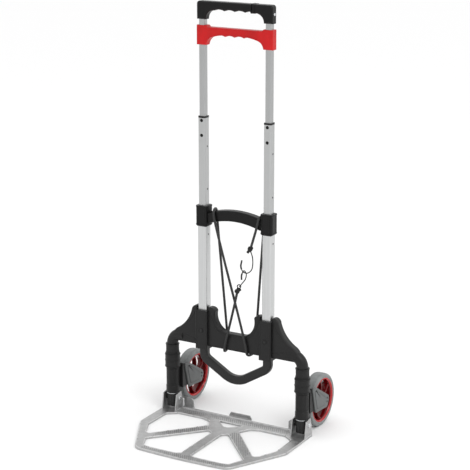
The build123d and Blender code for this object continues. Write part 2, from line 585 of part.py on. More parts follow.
def fork_bracket():
    """Turning sleeve, cross wall and the two arms that hold the axle."""
    sleeve = rod(SLEEVE_DIAMETER, (POST_X, 0, SLEEVE_BOTTOM), (POST_X, 0, SLEEVE_TOP))
    flange = rod(FLANGE_DIAMETER, (POST_X, 0, SLEEVE_BOTTOM), (POST_X, 0, FLANGE_TOP))
    sleeve += chamfer(flange.edges().group_by(Axis.Z)[-1], 1.2)
    cam = rod(CAM_DIAMETER, (POST_X, 0, CAM_BOTTOM), (POST_X, 0, SLEEVE_TOP))
    sleeve += chamfer(cam.edges(), 1.0)
    reach = ARM_GAP + ARM_THICKNESS
    arms = side_shape(arm_points(0), 0, WHEEL_X - reach, WHEEL_X + reach)
    wheel_space = Pos(WHEEL_X, WEB_REAR + WHEEL_RADIUS * 2, WHEEL_RADIUS) * Box(
        2 * ARM_GAP, WHEEL_RADIUS * 4, WHEEL_RADIUS * 4)
    wall = Pos(WHEEL_X, (WEB_FRONT + WEB_REAR) / 2, WHEEL_RADIUS + 21) * Box(
        2 * reach, WEB_REAR - WEB_FRONT, 60)
    body = sleeve + (arms - wheel_space) + wall
    neck = Pos(POST_X, WEB_FRONT - 4, WHEEL_RADIUS + 21) * Box(SLEEVE_DIAMETER - 6, 12, 60)
    body += neck
    body -= rod(POST_CORE + 2 * RUN, (POST_X, 0, SLEEVE_BOTTOM - 1), (POST_X, 0, SLEEVE_TOP + 1))
    axle_bore = AXLE_DIAMETER + 2 * RUN
    return body - rod(axle_bore, (WHEEL_X - 40, WHEEL_TRAIL, WHEEL_RADIUS), (WHEEL_X + 40, WHEEL_TRAIL, WHEEL_RADIUS))


def fork_cover(side):
    """Grey cover plate on one arm; side is 1 outboard and -1 inboard."""
    inner = WHEEL_X + side * (ARM_GAP + ARM_THICKNESS)
    outer = WHEEL_X + side * COVER_OUTSIDE
    cover = side_shape(arm_points(COVER_BORDER), 0, inner, outer)
    edges = cover.edges().group_by(Axis.X)
    cover = fillet(edges[-1] if side > 0 else edges[0], 1.2)
    bore = AXLE_HEAD + 1
    return cover - rod(bore, (inner - side, WHEEL_TRAIL, WHEEL_RADIUS), (outer + side, WHEEL_TRAIL, WHEEL_RADIUS))


def wheel_axle():
    """Axle rod with a head against the outer face of each arm."""
    reach = ARM_GAP + ARM_THICKNESS
    y, z = WHEEL_TRAIL, WHEEL_RADIUS
    axle = rod(AXLE_DIAMETER, (WHEEL_X - reach, y, z), (WHEEL_X + reach, y, z))
    for side in (-1, 1):
        start = WHEEL_X + side * reach
        axle += rod(AXLE_HEAD, (start, y, z), (start + side * AXLE_HEAD_HEIGHT, y, z))
    return axle


# ---- wheel -------------------------------------------------------------------------------
def wheel_place(shape):
    """Turn a wheel piece that is drawn about Z so that it runs about its axle."""
    return Pos(WHEEL_X, WHEEL_TRAIL, WHEEL_RADIUS) * Rot(0, 90, 0) * shape


def disc(radius, width):
    return extrude(Circle(radius), width / 2, both=True)


def wheel_rim():
    """Moulded rim with swept spokes."""
    body = disc(RIM_RADIUS, RIM_WIDTH) - disc(RIM_RADIUS - RIM_WALL, RIM_WIDTH + 2)
    body += disc(HUB_DIAMETER / 2, HUB_WIDTH)
    start = HUB_DIAMETER / 2 - 2
    end = RIM_RADIUS - RIM_WALL / 2
    for index in range(SPOKE_COUNT):
        path = ThreePointArc((start, 0), ((start + end) / 2, 8), (end, 4))
        face = trace(path, SPOKE_WIDTH)
        body += Rot(0, 0, index * 360 / SPOKE_COUNT) * extrude(face, SPOKE_DEPTH / 2, both=True)
    return wheel_place(body - disc(BUSH_DIAMETER / 2 + SEAT, HUB_WIDTH + 2))


def wheel_tyre():
    body = disc(WHEEL_RADIUS, TYRE_WIDTH)
    body = fillet(body.edges(), 5)
    return wheel_place(body - disc(RIM_RADIUS + SEAT / 2, TYRE_WIDTH + 2))


def wheel_bush():
    return wheel_place(disc(BUSH_DIAMETER / 2, HUB_WIDTH) - disc(AXLE_DIAMETER / 2 + RUN, HUB_WIDTH + 2))


# ---- toe plate ---------------------------------------------------------------------------
def plate_outline():
    """Plan of the plate: square at the rear, chamfered to a bowed front edge."""
    chamfer_y, front_x, front_y = -120.0, 126.0, -(PLATE_REACH - 5)
    corner = (PLATE_HALF_WIDTH, PLATE_REAR)
    right = [
        Line((0, PLATE_REAR), corner),
        Line(corner, (PLATE_HALF_WIDTH, chamfer_y)),
        Line((PLATE_HALF_WIDTH, chamfer_y), (front_x, front_y)),
    ]
    front = ThreePointArc((front_x, front_y), (0, -PLATE_REACH), (-front_x, front_y))
    face = make_face(mirrored_outline(right) + [front])
    for y, radius in ((PLATE_REAR, 5), (chamfer_y, 30), (front_y, 26)):
        corners = [v for v in face.vertices() if abs(v.Y - y) < 0.01 and abs(v.X) > 1]
        face = fillet(corners, radius)
    return face


def plate_openings(grow=0.0):
    """The five openings between the plate's border, its hub and its spokes."""
    side = [(42, -60), (58, -33), (80, -25), (150, -25), (176, -44), (177, -122), (155, -168), (144, -175)]
    front = [(13, -97), (27, -86), (134, -201), (116, -240), (97, -244), (25, -244), (13, -236)]
    centre = [(-38, -20), (38, -20), (30, -33), (7, -53), (-7, -53), (-30, -33)]
    faces = []
    for points, radius in ((side, 8), (front, 8), (centre, 4)):
        face = fillet(make_face(Polyline(*points, close=True)).vertices(), radius)
        if grow:
            face = offset(face, grow)
        faces.append(face)
        if points is not centre:
            faces.append(mirror(face, about=Plane.YZ))
    return faces


def ear_points():
    return [(-22, PLATE_SHEET), (14, PLATE_SHEET), (14, EAR_TOP - 25), (6, EAR_TOP), (-15, EAR_TOP - 4)]


def rear_tab(points):
    """Upturned tab behind the rear bead, drawn in X and Z."""
    face = fillet(make_face(Polyline(*points, close=True)).vertices(), 2)
    return Pos(0, PLATE_REAR + 8, 0) * extrude(Plane.XZ * face, PLATE_SHEET)


def toe_plate():
    """Pressed plate with turned-down lips, a rear bead, hinge ears and upturned tabs."""
    outline = plate_outline()
    up = (0, 0, 1)
    blank = extrude(outline, PLATE_TOP, dir=up)
    under = extrude(offset(outline, -PLATE_LIP), PLATE_TOP - PLATE_SHEET, dir=up)
    for face in plate_openings(PLATE_LIP):
        under -= extrude(face, PLATE_TOP, dir=up)
    plate = blank - under
    for face in plate_openings():
        plate -= extrude(face, PLATE_TOP, dir=up)
    bead = Pos(0, 6, PLATE_TOP + BEAD_HEIGHT / 2) * Box(2 * BEAD_HALF_LENGTH, BEAD_WIDTH, BEAD_HEIGHT)
    plate += fillet(bead.edges().group_by(Axis.Z)[-1], 2.5)
    tab_foot = PLATE_TOP - PLATE_SHEET
    tab_y = PLATE_REAR + 4
    for side in (-1, 1):
        points = [(134, tab_foot), (162, tab_foot), (162, SIDE_TAB_TOP), (140, SIDE_TAB_TOP - 3), (135, SIDE_TAB_TOP - 8)]
        plate += rear_tab([(side * x, z) for x, z in points])
        plate += Pos(side * 148, tab_y, tab_foot + PLATE_SHEET / 2) * Box(28, 12, PLATE_SHEET)
    points = [(-33, tab_foot), (33, tab_foot), (27, CENTRE_TAB_TOP), (-27, CENTRE_TAB_TOP)]
    plate += rear_tab(points)
    plate += Pos(0, tab_y, tab_foot + PLATE_SHEET / 2) * Box(60, 12, PLATE_SHEET)
    pin_bore = PIN_DIAMETER + 2 * RUN
    for post in (-POST_X, POST_X):
        for start in (post - EAR_OFFSET - EAR_THICKNESS, post + EAR_OFFSET):
            plate += side_shape(ear_points(), 0, start, start + EAR_THICKNESS)
        plate -= rod(pin_bore, (post - 30, 0, PIN_HEIGHT), (post + 30, 0, PIN_HEIGHT))
    return plate


def plate_pin():
    """Hinge rivet through both ears and the post's foot."""
    reach = EAR_OFFSET + EAR_THICKNESS
    pin = rod(PIN_DIAMETER, (POST_X - reach, 0, PIN_HEIGHT), (POST_X + reach, 0, PIN_HEIGHT))
    for side in (-1, 1):
        start = POST_X + side * reach
        head = rod(PIN_HEAD, (start, 0, PIN_HEIGHT), (start + side * PIN_HEAD_HEIGHT, 0, PIN_HEIGHT))
        edges = head.edges().group_by(Axis.X)
        pin += fillet(edges[-1] if side > 0 else edges[0], 1.4)
    return pin


# ---- bungee cord -------------------------------------------------------------------------
def cord_over_arch(x):
    """Height of the cord's middle where it lies on the arch's sloping top."""
    return arch_top(x - CORD_DIAMETER / 2) + CORD_OFFSET


def cord_route():
    """Corner points of the cord, from the upper knot to the lower one."""
    side_y = ARCH_DEPTH / 2 + CORD_OFFSET
    under = BEAM_BOTTOM - CORD_OFFSET
    return [
        (52.5, -20, 462), (70, -side_y, cord_over_arch(70)), (68.5, side_y, cord_over_arch(68.5)),
        (43, side_y, under), (38, -side_y, under),
        (-53, -side_y, cord_over_arch(53)), (-63, side_y, cord_over_arch(63)),
        (-31, side_y, under), (-25, -side_y, under), (15.5, -23, 341),
    ]


def bungee_cord():
    """Elastic cord pulled tight over the arch and under the beam."""
    edge_radius = 4.5 + CORD_OFFSET
    points = cord_route()
    path = FilletPolyline(*points, radius=[edge_radius] * (len(points) - 2))
    cord = sweep(Plane(origin=path @ 0, z_dir=path % 0) * Circle(CORD_DIAMETER / 2), path)
    section = math.pi * CORD_DIAMETER ** 2 / 4
    print(f"cord radii {edge_radius:.1f} length {path.length:.1f} volume ratio {cord.volume / (section * path.length):.4f}")
    return cord


def knot(point, toward):
    """Crimped knot at a cord's end, running on from the cord."""
    start, target = Vector(*point), Vector(*toward)
    direction = (start - target).normalized()
    body = rod(KNOT_DIAMETER, tuple(start), tuple(start + direction * KNOT_LENGTH))
    return fillet(body.edges(), 3)


def wire(points, radii):
    """Round wire along straight runs and arcs."""
    path = FilletPolyline(*points, radius=radii)
    return sweep(Plane(origin=path @ 0, z_dir=path % 0) * Circle(HOOK_WIRE / 2), path)


def upper_hook():
    """Open J hook that hangs from the upper knot."""
    points = [(51.5, -20, 447), (57.5, -20, 430), (50, -20, 396), (27, -20, 392), (22.5, -20, 412), (27, -20, 426)]
    return wire(points, [12, 12, 9, 8])


def lower_hook():
    """Hook that catches the upper one, with an eye at the lower knot."""
    points = [(29.5, -25.5, 378), (31, -24.5, 398.5), (36.5, -15.5, 398.5), (36.5, -16.5, 380), (20.1, -22.3, 355.1)]
    return wire(points, [4.8, 4.8, 10])


# ---- build every node --------------------------------------------------------------------
save_pair("outer_tube", outer_tube())
save_pair("middle_tube", middle_tube())
save_pair("inner_tube", inner_tube())
save_pair("tube_ring", tube_ring())
save("ring_studs", *both_sides(ring_stud()))
save("middle_guides", *both_sides(middle_guide()))
save("inner_guides", *both_sides(inner_guide()))
save("lock_pins", *both_sides(lock_pin()))
save("hand_grip", hand_grip())
save("grip_screws", *both_sides(grip_screw()))
save("release_bar", release_bar())
save("release_rods", *both_sides(release_rod()))
save("release_cross_pins", *both_sides(cross_pin()))
save("upper_crosspiece", upper_crosspiece())
save("lower_crosspiece", lower_crosspiece())
save("crosspiece_screws", *both_sides(box_screw()))
save("lower_v_bar", v_bar())
save_pair("swivel_post", swivel_post())
save_pair("thrust_washer", thrust_washer())
save_pair("post_collar", post_collar())
save_pair("fork_bracket", fork_bracket())
save_pair("fork_cover_outer", fork_cover(1))
save_pair("fork_cover_inner", fork_cover(-1))
save_pair("wheel_axle", wheel_axle())
save_pair("wheel_rim", wheel_rim())
save_pair("wheel_tyre", wheel_tyre())
save_pair("wheel_bush", wheel_bush())
save("toe_plate", toe_plate())
save_pair("plate_pin", plate_pin())
save("bungee_cord", bungee_cord())
route = cord_route()
save("cord_knots", knot(route[0], route[1]), knot(route[-1], route[-2]))
save("cord_hook_upper", upper_hook())
save("cord_hook_lower", lower_hook())
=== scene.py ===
"""Looks of the folding hand truck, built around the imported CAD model.

Every sub-assembly is a class that builds its own surfaces and dresses the CAD nodes that
stay. Lengths are metres in the CAD model's frame: X to the right, Y to the rear, Z up.
"""

import logging
import math
from collections.abc import Callable, Iterable
from dataclasses import dataclass, field
from enum import Enum

import bmesh
import bpy
import numpy as np
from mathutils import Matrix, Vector
from mathutils.bvhtree import BVHTree


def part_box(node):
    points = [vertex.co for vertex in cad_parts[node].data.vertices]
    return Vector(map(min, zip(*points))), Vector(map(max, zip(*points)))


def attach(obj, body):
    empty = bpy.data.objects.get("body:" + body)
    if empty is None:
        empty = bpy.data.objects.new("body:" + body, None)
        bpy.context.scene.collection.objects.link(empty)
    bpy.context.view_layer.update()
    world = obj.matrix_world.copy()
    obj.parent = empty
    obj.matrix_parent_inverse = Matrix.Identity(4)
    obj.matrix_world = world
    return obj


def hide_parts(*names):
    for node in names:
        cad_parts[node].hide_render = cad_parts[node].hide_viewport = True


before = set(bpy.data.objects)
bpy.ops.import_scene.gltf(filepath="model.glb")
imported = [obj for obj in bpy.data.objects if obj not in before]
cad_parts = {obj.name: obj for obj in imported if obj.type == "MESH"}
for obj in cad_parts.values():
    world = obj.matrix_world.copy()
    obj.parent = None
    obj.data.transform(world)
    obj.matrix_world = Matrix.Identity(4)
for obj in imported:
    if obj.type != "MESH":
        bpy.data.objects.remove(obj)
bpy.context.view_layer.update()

LOG = logging.getLogger("hand_truck")
MM = 0.001
SHARPEST = 1e-5            # corner radius, in millimetres, of a corner that is left sharp
CREASE = math.radians(38)  # faces that meet at more than this keep a sharp edge
Points = np.ndarray
Mesh = bpy.types.Object


class Side(Enum):
    """A side of the truck: its value is the sign of X there."""

    LEFT = -1
    RIGHT = 1

    def named(self, stem: str) -> str:
        """Name of the piece called stem on this side."""
        return f"{stem}_{self.name.lower()}"


# ---- small tools -------------------------------------------------------------------------
def linear(hex_colour: str) -> tuple[float, float, float, float]:
    """Turn an sRGB hex colour into linear red, green, blue and alpha.

    Args:
        hex_colour: six hex digits.

    Returns:
        The linear colour, with alpha 1.
    """
    channels = [int(hex_colour[i:i + 2], 16) / 255 for i in (0, 2, 4)]
    bent = [c / 12.92 if c <= 0.04045 else ((c + 0.055) / 1.055) ** 2.4 for c in channels]
    return (*bent, 1.0)


def add_node(tree: bpy.types.NodeTree, kind: str, settings: dict | None = None,
             values: dict | None = None, links: dict | None = None) -> bpy.types.Node:
    """Add one shader node with its settings, socket values and incoming links.

    Args:
        tree: node tree that gets the node.
        kind: Blender's name of the node type.
        settings: attributes of the node.
        values: socket name or number to value.
        links: socket name or number to the socket that feeds it.

    Returns:
        The new node.
    """
    node = tree.nodes.new(kind)
    for key, value in (settings or {}).items():
        setattr(node, key, value)
    for key, value in (values or {}).items():
        node.inputs[key].default_value = value
    for key, source in (links or {}).items():
        tree.links.new(source, node.inputs[key])
    return node


def circle(radius: float, count: int = 24) -> Points:
    """Points (count, 2) of a circle about the origin, at equal angles."""
    angle = np.linspace(0, 2 * np.pi, count, endpoint=False)
    return radius * np.stack([np.cos(angle), np.sin(angle)], -1)


def rounded_box(width: float, depth: float, corner: float, per_corner: int = 6) -> Points:
    """Points of a rectangle with rounded corners: four quarter circles in a row.

    Args:
        width: size along the first direction.
        depth: size along the second.
        corner: corner radius.
        per_corner: points on each corner.

    Returns:
        Array (4 * per_corner, 2), anticlockwise.
    """
    start = np.repeat(np.arange(4) * np.pi / 2, per_corner)
    angle = start + np.tile(np.linspace(0, np.pi / 2, per_corner), 4)
    quarter = np.repeat(np.array([[1, 1], [-1, 1], [-1, -1], [1, -1]]), per_corner, axis=0)
    centre = quarter * (np.array([width, depth]) / 2 - corner)
    return centre + corner * np.stack([np.cos(angle), np.sin(angle)], -1)


def smooth_path(points: Iterable, count: int = 60) -> Points:
    """Smooth curve through points: cubic Hermite pieces, summed as arrays.

    Args:
        points: the points it passes through.
        count: how many points to return.

    Returns:
        Array (count, 3) along the curve.
    """
    p = np.asarray(list(points), float)
    tangent = np.gradient(p, axis=0)
    t = np.linspace(0, len(p) - 1, count)
    i = np.minimum(t.astype(int), len(p) - 2)
    s = (t - i)[:, None]
    a, b, ta, tb = p[i], p[i + 1], tangent[i], tangent[i + 1]
    return ((2 * s**3 - 3 * s**2 + 1) * a + (s**3 - 2 * s**2 + s) * ta
            + (3 * s**2 - 2 * s**3) * b + (s**3 - s**2) * tb)


def bends(before: Points, corner: Points, after: Points, radius: float, per_corner: int) -> Points:
    """Rounded corners, each a quadratic curve between its two tangent points.

    A tangent point lies radius * tan(turn / 2) from the corner, along each neighbouring side.

    Args:
        before: the point before each corner (n, d).
        corner: the corners (n, d).
        after: the point after each corner (n, d).
        radius: bend radius.
        per_corner: points on each bend.

    Returns:
        Array (n * per_corner, d).
    """
    back, onward = before - corner, after - corner
    back /= np.linalg.norm(back, axis=1, keepdims=True)
    onward /= np.linalg.norm(onward, axis=1, keepdims=True)
    turn = np.pi - np.arccos(np.clip((back * onward).sum(1), -1, 1))
    reach = (radius * np.tan(turn / 2))[:, None, None]
    s = np.linspace(0, 1, per_corner)[None, :, None]
    at = corner[:, None]
    curve = ((1 - s) ** 2 * (at + back[:, None] * reach) + 2 * s * (1 - s) * at
             + s**2 * (at + onward[:, None] * reach))
    return curve.reshape(-1, corner.shape[1])


def arc_path(points: Iterable, radius: float, per_corner: int = 8) -> Points:
    """Straight runs joined by rounded corners, as a bent bar or a rolled edge follows.

    Args:
        points: corner points (n, 3).
        radius: bend radius.
        per_corner: points on each bend.

    Returns:
        Array of points along the path.
    """
    p = np.asarray(list(points), float)
    return np.vstack([p[:1], bends(p[:-2], p[1:-1], p[2:], radius, per_corner), p[-1:]])


def carried(section: Points, path: Points, across: tuple = (0, 1, 0)) -> Points:
    """Section carried along a path: row i is path[i] + u * across + v * (across x tangent).

    Args:
        section: closed section (m, 2).
        path: centre line (n, 3).
        across: direction that the section's first axis keeps.

    Returns:
        Grid (n + 2, m, 3) with both ends drawn in to a point, which closes them.
    """
    tangent = np.gradient(path, axis=0)
    tangent /= np.linalg.norm(tangent, axis=1, keepdims=True)
    across = np.asarray(across, float)
    first = across - tangent * (tangent @ across)[:, None]
    first /= np.linalg.norm(first, axis=1, keepdims=True)
    second = np.cross(first, tangent)
    rows = path[:, None] + section[None, :, :1] * first[:, None] + section[None, :, 1:] * second[:, None]
    head, foot = (np.broadcast_to(end, rows[0].shape) for end in (path[0], path[-1]))
    return np.concatenate([head[None], rows, foot[None]])


def turned(profile: Points, centre: tuple, steps: int = 96) -> Points:
    """Profile turned about an axis along X: (x, r) becomes (x, r cos a, r sin a).

    Args:
        profile: points (n, 2) of X and radius; radius 0 at both ends closes it.
        centre: point on the axis.
        steps: angles round the axis.

    Returns:
        Grid (n, steps, 3).
    """
    angle = np.linspace(0, 2 * np.pi, steps, endpoint=False)
    x, r = profile[:, :1], profile[:, 1:]
    grid = np.stack([np.broadcast_to(x, (len(profile), steps)), r * np.cos(angle), r * np.sin(angle)], -1)
    return grid + np.asarray(centre, float)


def stood(profile: Points, centre: tuple, steps: int = 64) -> Points:
    """Profile turned about an upright axis: (r, z) becomes (r cos a, r sin a, z).

    Args:
        profile: points (n, 2) of radius and Z; radius 0 at both ends closes it.
        centre: point on the axis.
        steps: angles round the axis.

    Returns:
        Grid (n, steps, 3).
    """
    angle = np.linspace(0, 2 * np.pi, steps, endpoint=False)
    r, z = profile[:, :1], profile[:, 1:]
    grid = np.stack([r * np.cos(angle), r * np.sin(angle), np.broadcast_to(z, (len(profile), steps))], -1)
    return grid + np.asarray(centre, float)


def rounded_polygon(corners: Points, radius: float, per_corner: int = 7) -> Points:
    """Polygon with rounded corners.

    Args:
        corners: corner points (n, 2).
        radius: corner radius; one below SHARPEST is drawn as SHARPEST.
        per_corner: points on each corner.

    Returns:
        Array (n * per_corner, 2).
    """
    p = np.asarray(corners, float)
    return bends(np.roll(p, 1, 0), p, np.roll(p, -1, 0), max(radius, SHARPEST), per_corner)


def inset_polygon(corners: Points, inset: float) -> Points:
    """Polygon with each side moved inwards, and neighbouring sides met again.

    Args:
        corners: corner points (n, 2), anticlockwise.
        inset: how far each side moves; a negative value moves it outwards.

    Returns:
        The new corners (n, 2).
    """
    p = np.asarray(corners, float)
    edge = np.roll(p, -1, 0) - p
    edge /= np.linalg.norm(edge, axis=1, keepdims=True)
    inward = np.stack([-edge[:, 1], edge[:, 0]], -1)
    here, prev_edge = p + inward * inset, np.roll(edge, 1, 0)
    prev = p + np.roll(inward, 1, 0) * inset
    cross = prev_edge[:, 0] * edge[:, 1] - prev_edge[:, 1] * edge[:, 0]
    gap = here - prev
    along = (gap[:, 0] * edge[:, 1] - gap[:, 1] * edge[:, 0]) / cross
    return prev + prev_edge * along[:, None]


def solid(name: str, grids: Iterable[Points]) -> Mesh:
    """Join closed grids of points into one mesh whose faces all point outwards.

    Args:
        name: the piece's name.
        grids: arrays (rows, columns, 3); the columns close on themselves.

    Returns:
        The new object, at the origin.
    """
    vertices, faces, start = [], [], 0
    for grid in grids:
        rows, columns = grid.shape[:2]
        r, c = np.meshgrid(np.arange(rows - 1), np.arange(columns), indexing="ij")
        below, right = r + 1, (c + 1) % columns
        upper, lower = r * columns, below * columns
        quad = np.stack([upper + c, upper + right, lower + right, lower + c], -1)
        faces.append(quad.reshape(-1, 4) + start)
        vertices.append(grid.reshape(-1, 3))
        start += rows * columns
    mesh = bpy.data.meshes.new(name)
    mesh.from_pydata(np.vstack(vertices), [], np.vstack(faces).tolist())
    shell = bmesh.new()
    shell.from_mesh(mesh)
    bmesh.ops.remove_doubles(shell, verts=shell.verts, dist=1e-7)
    bmesh.ops.dissolve_degenerate(shell, dist=1e-8, edges=shell.edges)
    bmesh.ops.recalc_face_normals(shell, faces=shell.faces)
    shell.to_mesh(mesh)
    shell.free()
    mesh.shade_smooth()
    mesh.set_sharp_from_angle(angle=CREASE)
    piece = bpy.data.objects.new(name, mesh)
    bpy.context.scene.collection.objects.link(piece)
    return piece


# ---- finishes ----------------------------------------------------------------------------
NOISE_MIDDLE = {"From Min": 0.3, "From Max": 0.7}      # the part of its range that noise mostly fills


@dataclass(frozen=True)
class Finish:
    """A finish: its colour and gloss, and the relief that its making leaves."""

    name: str
    colour: str
    roughness: float

    def relief(self, tree: bpy.types.NodeTree, place: bpy.types.NodeSocket) -> tuple:
        """Return the colour, roughness and normal sockets of this finish's pattern."""
        raise NotImplementedError

    def sockets(self) -> dict:
        """Principled values that are the same all over the surface."""
        return {}

    def mottle(self, tree: bpy.types.NodeTree, pattern: bpy.types.NodeSocket, dark: float,
               light: float) -> bpy.types.NodeSocket:
        """Colour that a noise pattern makes darker and lighter.

        Args:
            tree: node tree.
            pattern: noise; its middle range, 0.3 to 0.7, covers the whole change.
            dark: factor on the sRGB colour where the noise is low.
            light: factor where it is high.

        Returns:
            The colour socket.
        """
        amount = add_node(tree, "ShaderNodeMapRange", values=NOISE_MIDDLE, links={"Value": pattern})
        low, high = (linear(shifted(self.colour, factor)) for factor in (dark, light))
        mixed = add_node(tree, "ShaderNodeMix", settings={"data_type": "RGBA"}, values={6: low, 7: high},
                         links={0: amount.outputs[0]})
        return mixed.outputs[2]

    def painted_edge_highlight(self, tree: bpy.types.NodeTree, edge: bpy.types.NodeSocket, lighter: float, share: float,
            tone: bpy.types.NodeSocket | None = None) -> bpy.types.NodeSocket:
        """Colour with a painted highlight that makes the edges lighter.

        Args:
            tree: node tree.
            edge: mask that is 1 on the edges.
            lighter: factor on the sRGB colour there.
            share: how much of the lighter colour shows on an edge.
            tone: colour away from the edges; the plain colour if it is left out.

        Returns:
            The colour socket.
        """
        # painted highlight: every edge is lighter, whatever the light
        amount = add_node(tree, "ShaderNodeMapRange", values={"To Max": share}, links={"Value": edge})
        mixed = add_node(tree, "ShaderNodeMix", settings={"data_type": "RGBA"},
                         values={6: linear(self.colour), 7: linear(shifted(self.colour, lighter))},
                         links={0: amount.outputs[0], **({6: tone} if tone else {})})
        return mixed.outputs[2]

    def skin(self, tree: bpy.types.NodeTree, gloss: tuple, bump: tuple,
             normal: bpy.types.NodeSocket | None = None) -> tuple:
        """Roughness that varies with one pattern, and a bump made by another.

        Args:
            tree: node tree.
            gloss: noise, and how far below and above the finish's roughness it goes.
            bump: height pattern, strength, and height in millimetres.
            normal: normal that the bump adds to.

        Returns:
            The roughness socket and the normal socket.
        """
        pattern, below, above = gloss
        ends = {"To Min": self.roughness - below, "To Max": self.roughness + above}
        rough = add_node(tree, "ShaderNodeMapRange", values=NOISE_MIDDLE | ends, links={"Value": pattern})
        height, strength, height_mm = bump
        raised = add_node(tree, "ShaderNodeBump", values={"Strength": strength, "Distance": height_mm * MM},
                          links={"Height": height, **({"Normal": normal} if normal else {})})
        return rough.outputs[0], raised.outputs[0]

    def make(self) -> bpy.types.Material:
        """Build the material, or return it if it is there already."""
        if self.name in bpy.data.materials:
            return bpy.data.materials[self.name]
        material = bpy.data.materials.new(self.name)
        material.use_nodes = True
        tree = material.node_tree
        tree.nodes.clear()
        place = add_node(tree, "ShaderNodeTexCoord").outputs["Object"]
        colour, roughness, normal = self.relief(tree, place)
        shader = add_node(tree, "ShaderNodeBsdfPrincipled", values=self.sockets(),
                          links={"Base Color": colour, "Roughness": roughness, "Normal": normal})
        add_node(tree, "ShaderNodeOutputMaterial", links={"Surface": shader.outputs[0]})
        material.diffuse_color = linear(self.colour)
        return material


def noise(tree: bpy.types.NodeTree, place: bpy.types.NodeSocket, grain_mm: tuple,
          detail: float = 3.0) -> bpy.types.NodeSocket:
    """Noise whose grain is the given size in millimetres along X, Y and Z.

    Args:
        tree: node tree.
        place: coordinates in metres.
        grain_mm: size of one grain along each axis.
        detail: octaves of finer noise.

    Returns:
        The noise's factor socket.
    """
    scale = tuple(1 / (grain * MM) for grain in grain_mm)
    scaled = add_node(tree, "ShaderNodeMapping", values={"Scale": scale}, links={"Vector": place})
    made = add_node(tree, "ShaderNodeTexNoise", values={"Scale": 1.0, "Detail": detail},
                    links={"Vector": scaled.outputs[0]})
    return made.outputs[0]


def shifted(hex_colour: str, factor: float) -> str:
    """A lighter or darker version of an sRGB hex colour."""
    return "".join(f"{min(255, round(int(hex_colour[i:i + 2], 16) * factor)):02X}" for i in (0, 2, 4))


def eased_edge(tree: bpy.types.NodeTree, radius_mm: float) -> tuple:
    """Normal that rounds sharp edges, and a mask that is 1 on them.

    The mask is one minus the dot product of the rounded and the true normal, stretched.

    Args:
        tree: node tree.
        radius_mm: radius that the edges look to have.

    Returns:
        The normal socket and the mask socket.
    """
    bevel = add_node(tree, "ShaderNodeBevel", settings={"samples": 4}, values={"Radius": radius_mm * MM})
    flat = add_node(tree, "ShaderNodeNewGeometry")
    dot = add_node(tree, "ShaderNodeVectorMath", settings={"operation": "DOT_PRODUCT"},
                   links={0: bevel.outputs[0], 1: flat.outputs["Normal"]})
    mask = add_node(tree, "ShaderNodeMapRange", values={"From Min": 0.995, "From Max": 0.8},
                    links={"Value": dot.outputs["Value"]})
    return bevel.outputs[0], mask.outputs[0]


@dataclass(frozen=True)
class MouldedPlastic(Finish):
    """Injection-moulded nylon or ABS from a spark-eroded tool: fine grain, soft sheen, and edges made paler
    by a painted highlight.

    The real grain is 0.2 mm; it is drawn at grain_mm so that it shows.
    """

    grain_mm: float = 1.1
    grain_height_mm: float = 0.05
    edge_mm: float = 0.8
    coat: float = 0.0
    specular: float = 0.3

    def sockets(self) -> dict:
        """A filled plastic reflects less than clear glass; a polished one has a clear gloss."""
        return {"Specular IOR Level": self.specular, "Coat Weight": self.coat, "Coat Roughness": 0.06}

    def relief(self, tree: bpy.types.NodeTree, place: bpy.types.NodeSocket) -> tuple:
        """Grain bump over eased edges, which a painted highlight makes lighter; the flow of the melt varies
        tone and gloss a little.
        """
        normal, edge = eased_edge(tree, self.edge_mm)
        grain = noise(tree, place, (self.grain_mm,) * 3, 2.0)
        flow = noise(tree, place, (38, 38, 55), 4.0)
        colour = self.painted_edge_highlight(tree, edge, 1.35, 0.5, self.mottle(tree, flow, 0.93, 1.07))
        return colour, *self.skin(tree, (flow, 0.05, 0.06), (grain, 0.6, self.grain_height_mm), normal)


@dataclass(frozen=True)
class Metal(Finish):
    """Any bare metal: the colour is its reflection, and it keeps the default IOR."""

    def sockets(self) -> dict:
        """A metal all over."""
        return {"Metallic": 1.0}


@dataclass(frozen=True)
class DrawnAluminium(Metal):
    """Anodised aluminium extrusion: a satin metal with faint lengthwise die lines."""

    def relief(self, tree: bpy.types.NodeTree, place: bpy.types.NodeSocket) -> tuple:
        """Die lines are noise 0.7 mm wide and 400 mm long; handling leaves cloudier patches."""
        normal, _ = eased_edge(tree, 0.5)
        lines = noise(tree, place, (0.7, 0.7, 400), 2.0)
        cloud = noise(tree, place, (16, 16, 60), 3.0)
        colour = self.mottle(tree, lines, 0.97, 1.03)
        return colour, *self.skin(tree, (cloud, 0.04, 0.06), (lines, 0.35, 0.02), normal)


@dataclass(frozen=True)
class PressedSheet(Metal):
    """Pressed aluminium sheet, tumbled after punching: mottled satin, with a painted highlight on its edges.
    """

    def relief(self, tree: bpy.types.NodeTree, place: bpy.types.NodeSocket) -> tuple:
        """Rolling marks run across the plate; tumbling mottles it; a painted highlight makes the edges
        bright.
        """
        normal, edge = eased_edge(tree, 1.6)
        rolled = noise(tree, place, (70, 1.1, 8), 2.0)
        tumbled = noise(tree, place, (9, 9, 9), 5.0)
        colour = self.painted_edge_highlight(tree, edge, 1.14, 0.8, self.mottle(tree, tumbled, 0.93, 1.05))
        return colour, *self.skin(tree, (tumbled, 0.05, 0.08), (rolled, 0.4, 0.03), normal)


@dataclass(frozen=True)
class PowderCoat(Finish):
    """Baked powder coat on steel: a hard satin skin with orange peel of about 2 mm."""

    def sockets(self) -> dict:
        """Paint reflects less than clear glass."""
        return {"Specular IOR Level": 0.35}

    def relief(self, tree: bpy.types.NodeTree, place: bpy.types.NodeSocket) -> tuple:
        """Orange peel bump over eased edges, which a painted highlight makes lighter."""
        normal, edge = eased_edge(tree, 0.8)
        peel = noise(tree, place, (2.0, 2.0, 2.0), 1.0)
        colour = self.painted_edge_highlight(tree, edge, 1.4, 0.6)
        return colour, *self.skin(tree, (peel, 0.03, 0.05), (peel, 0.5, 0.04), normal)


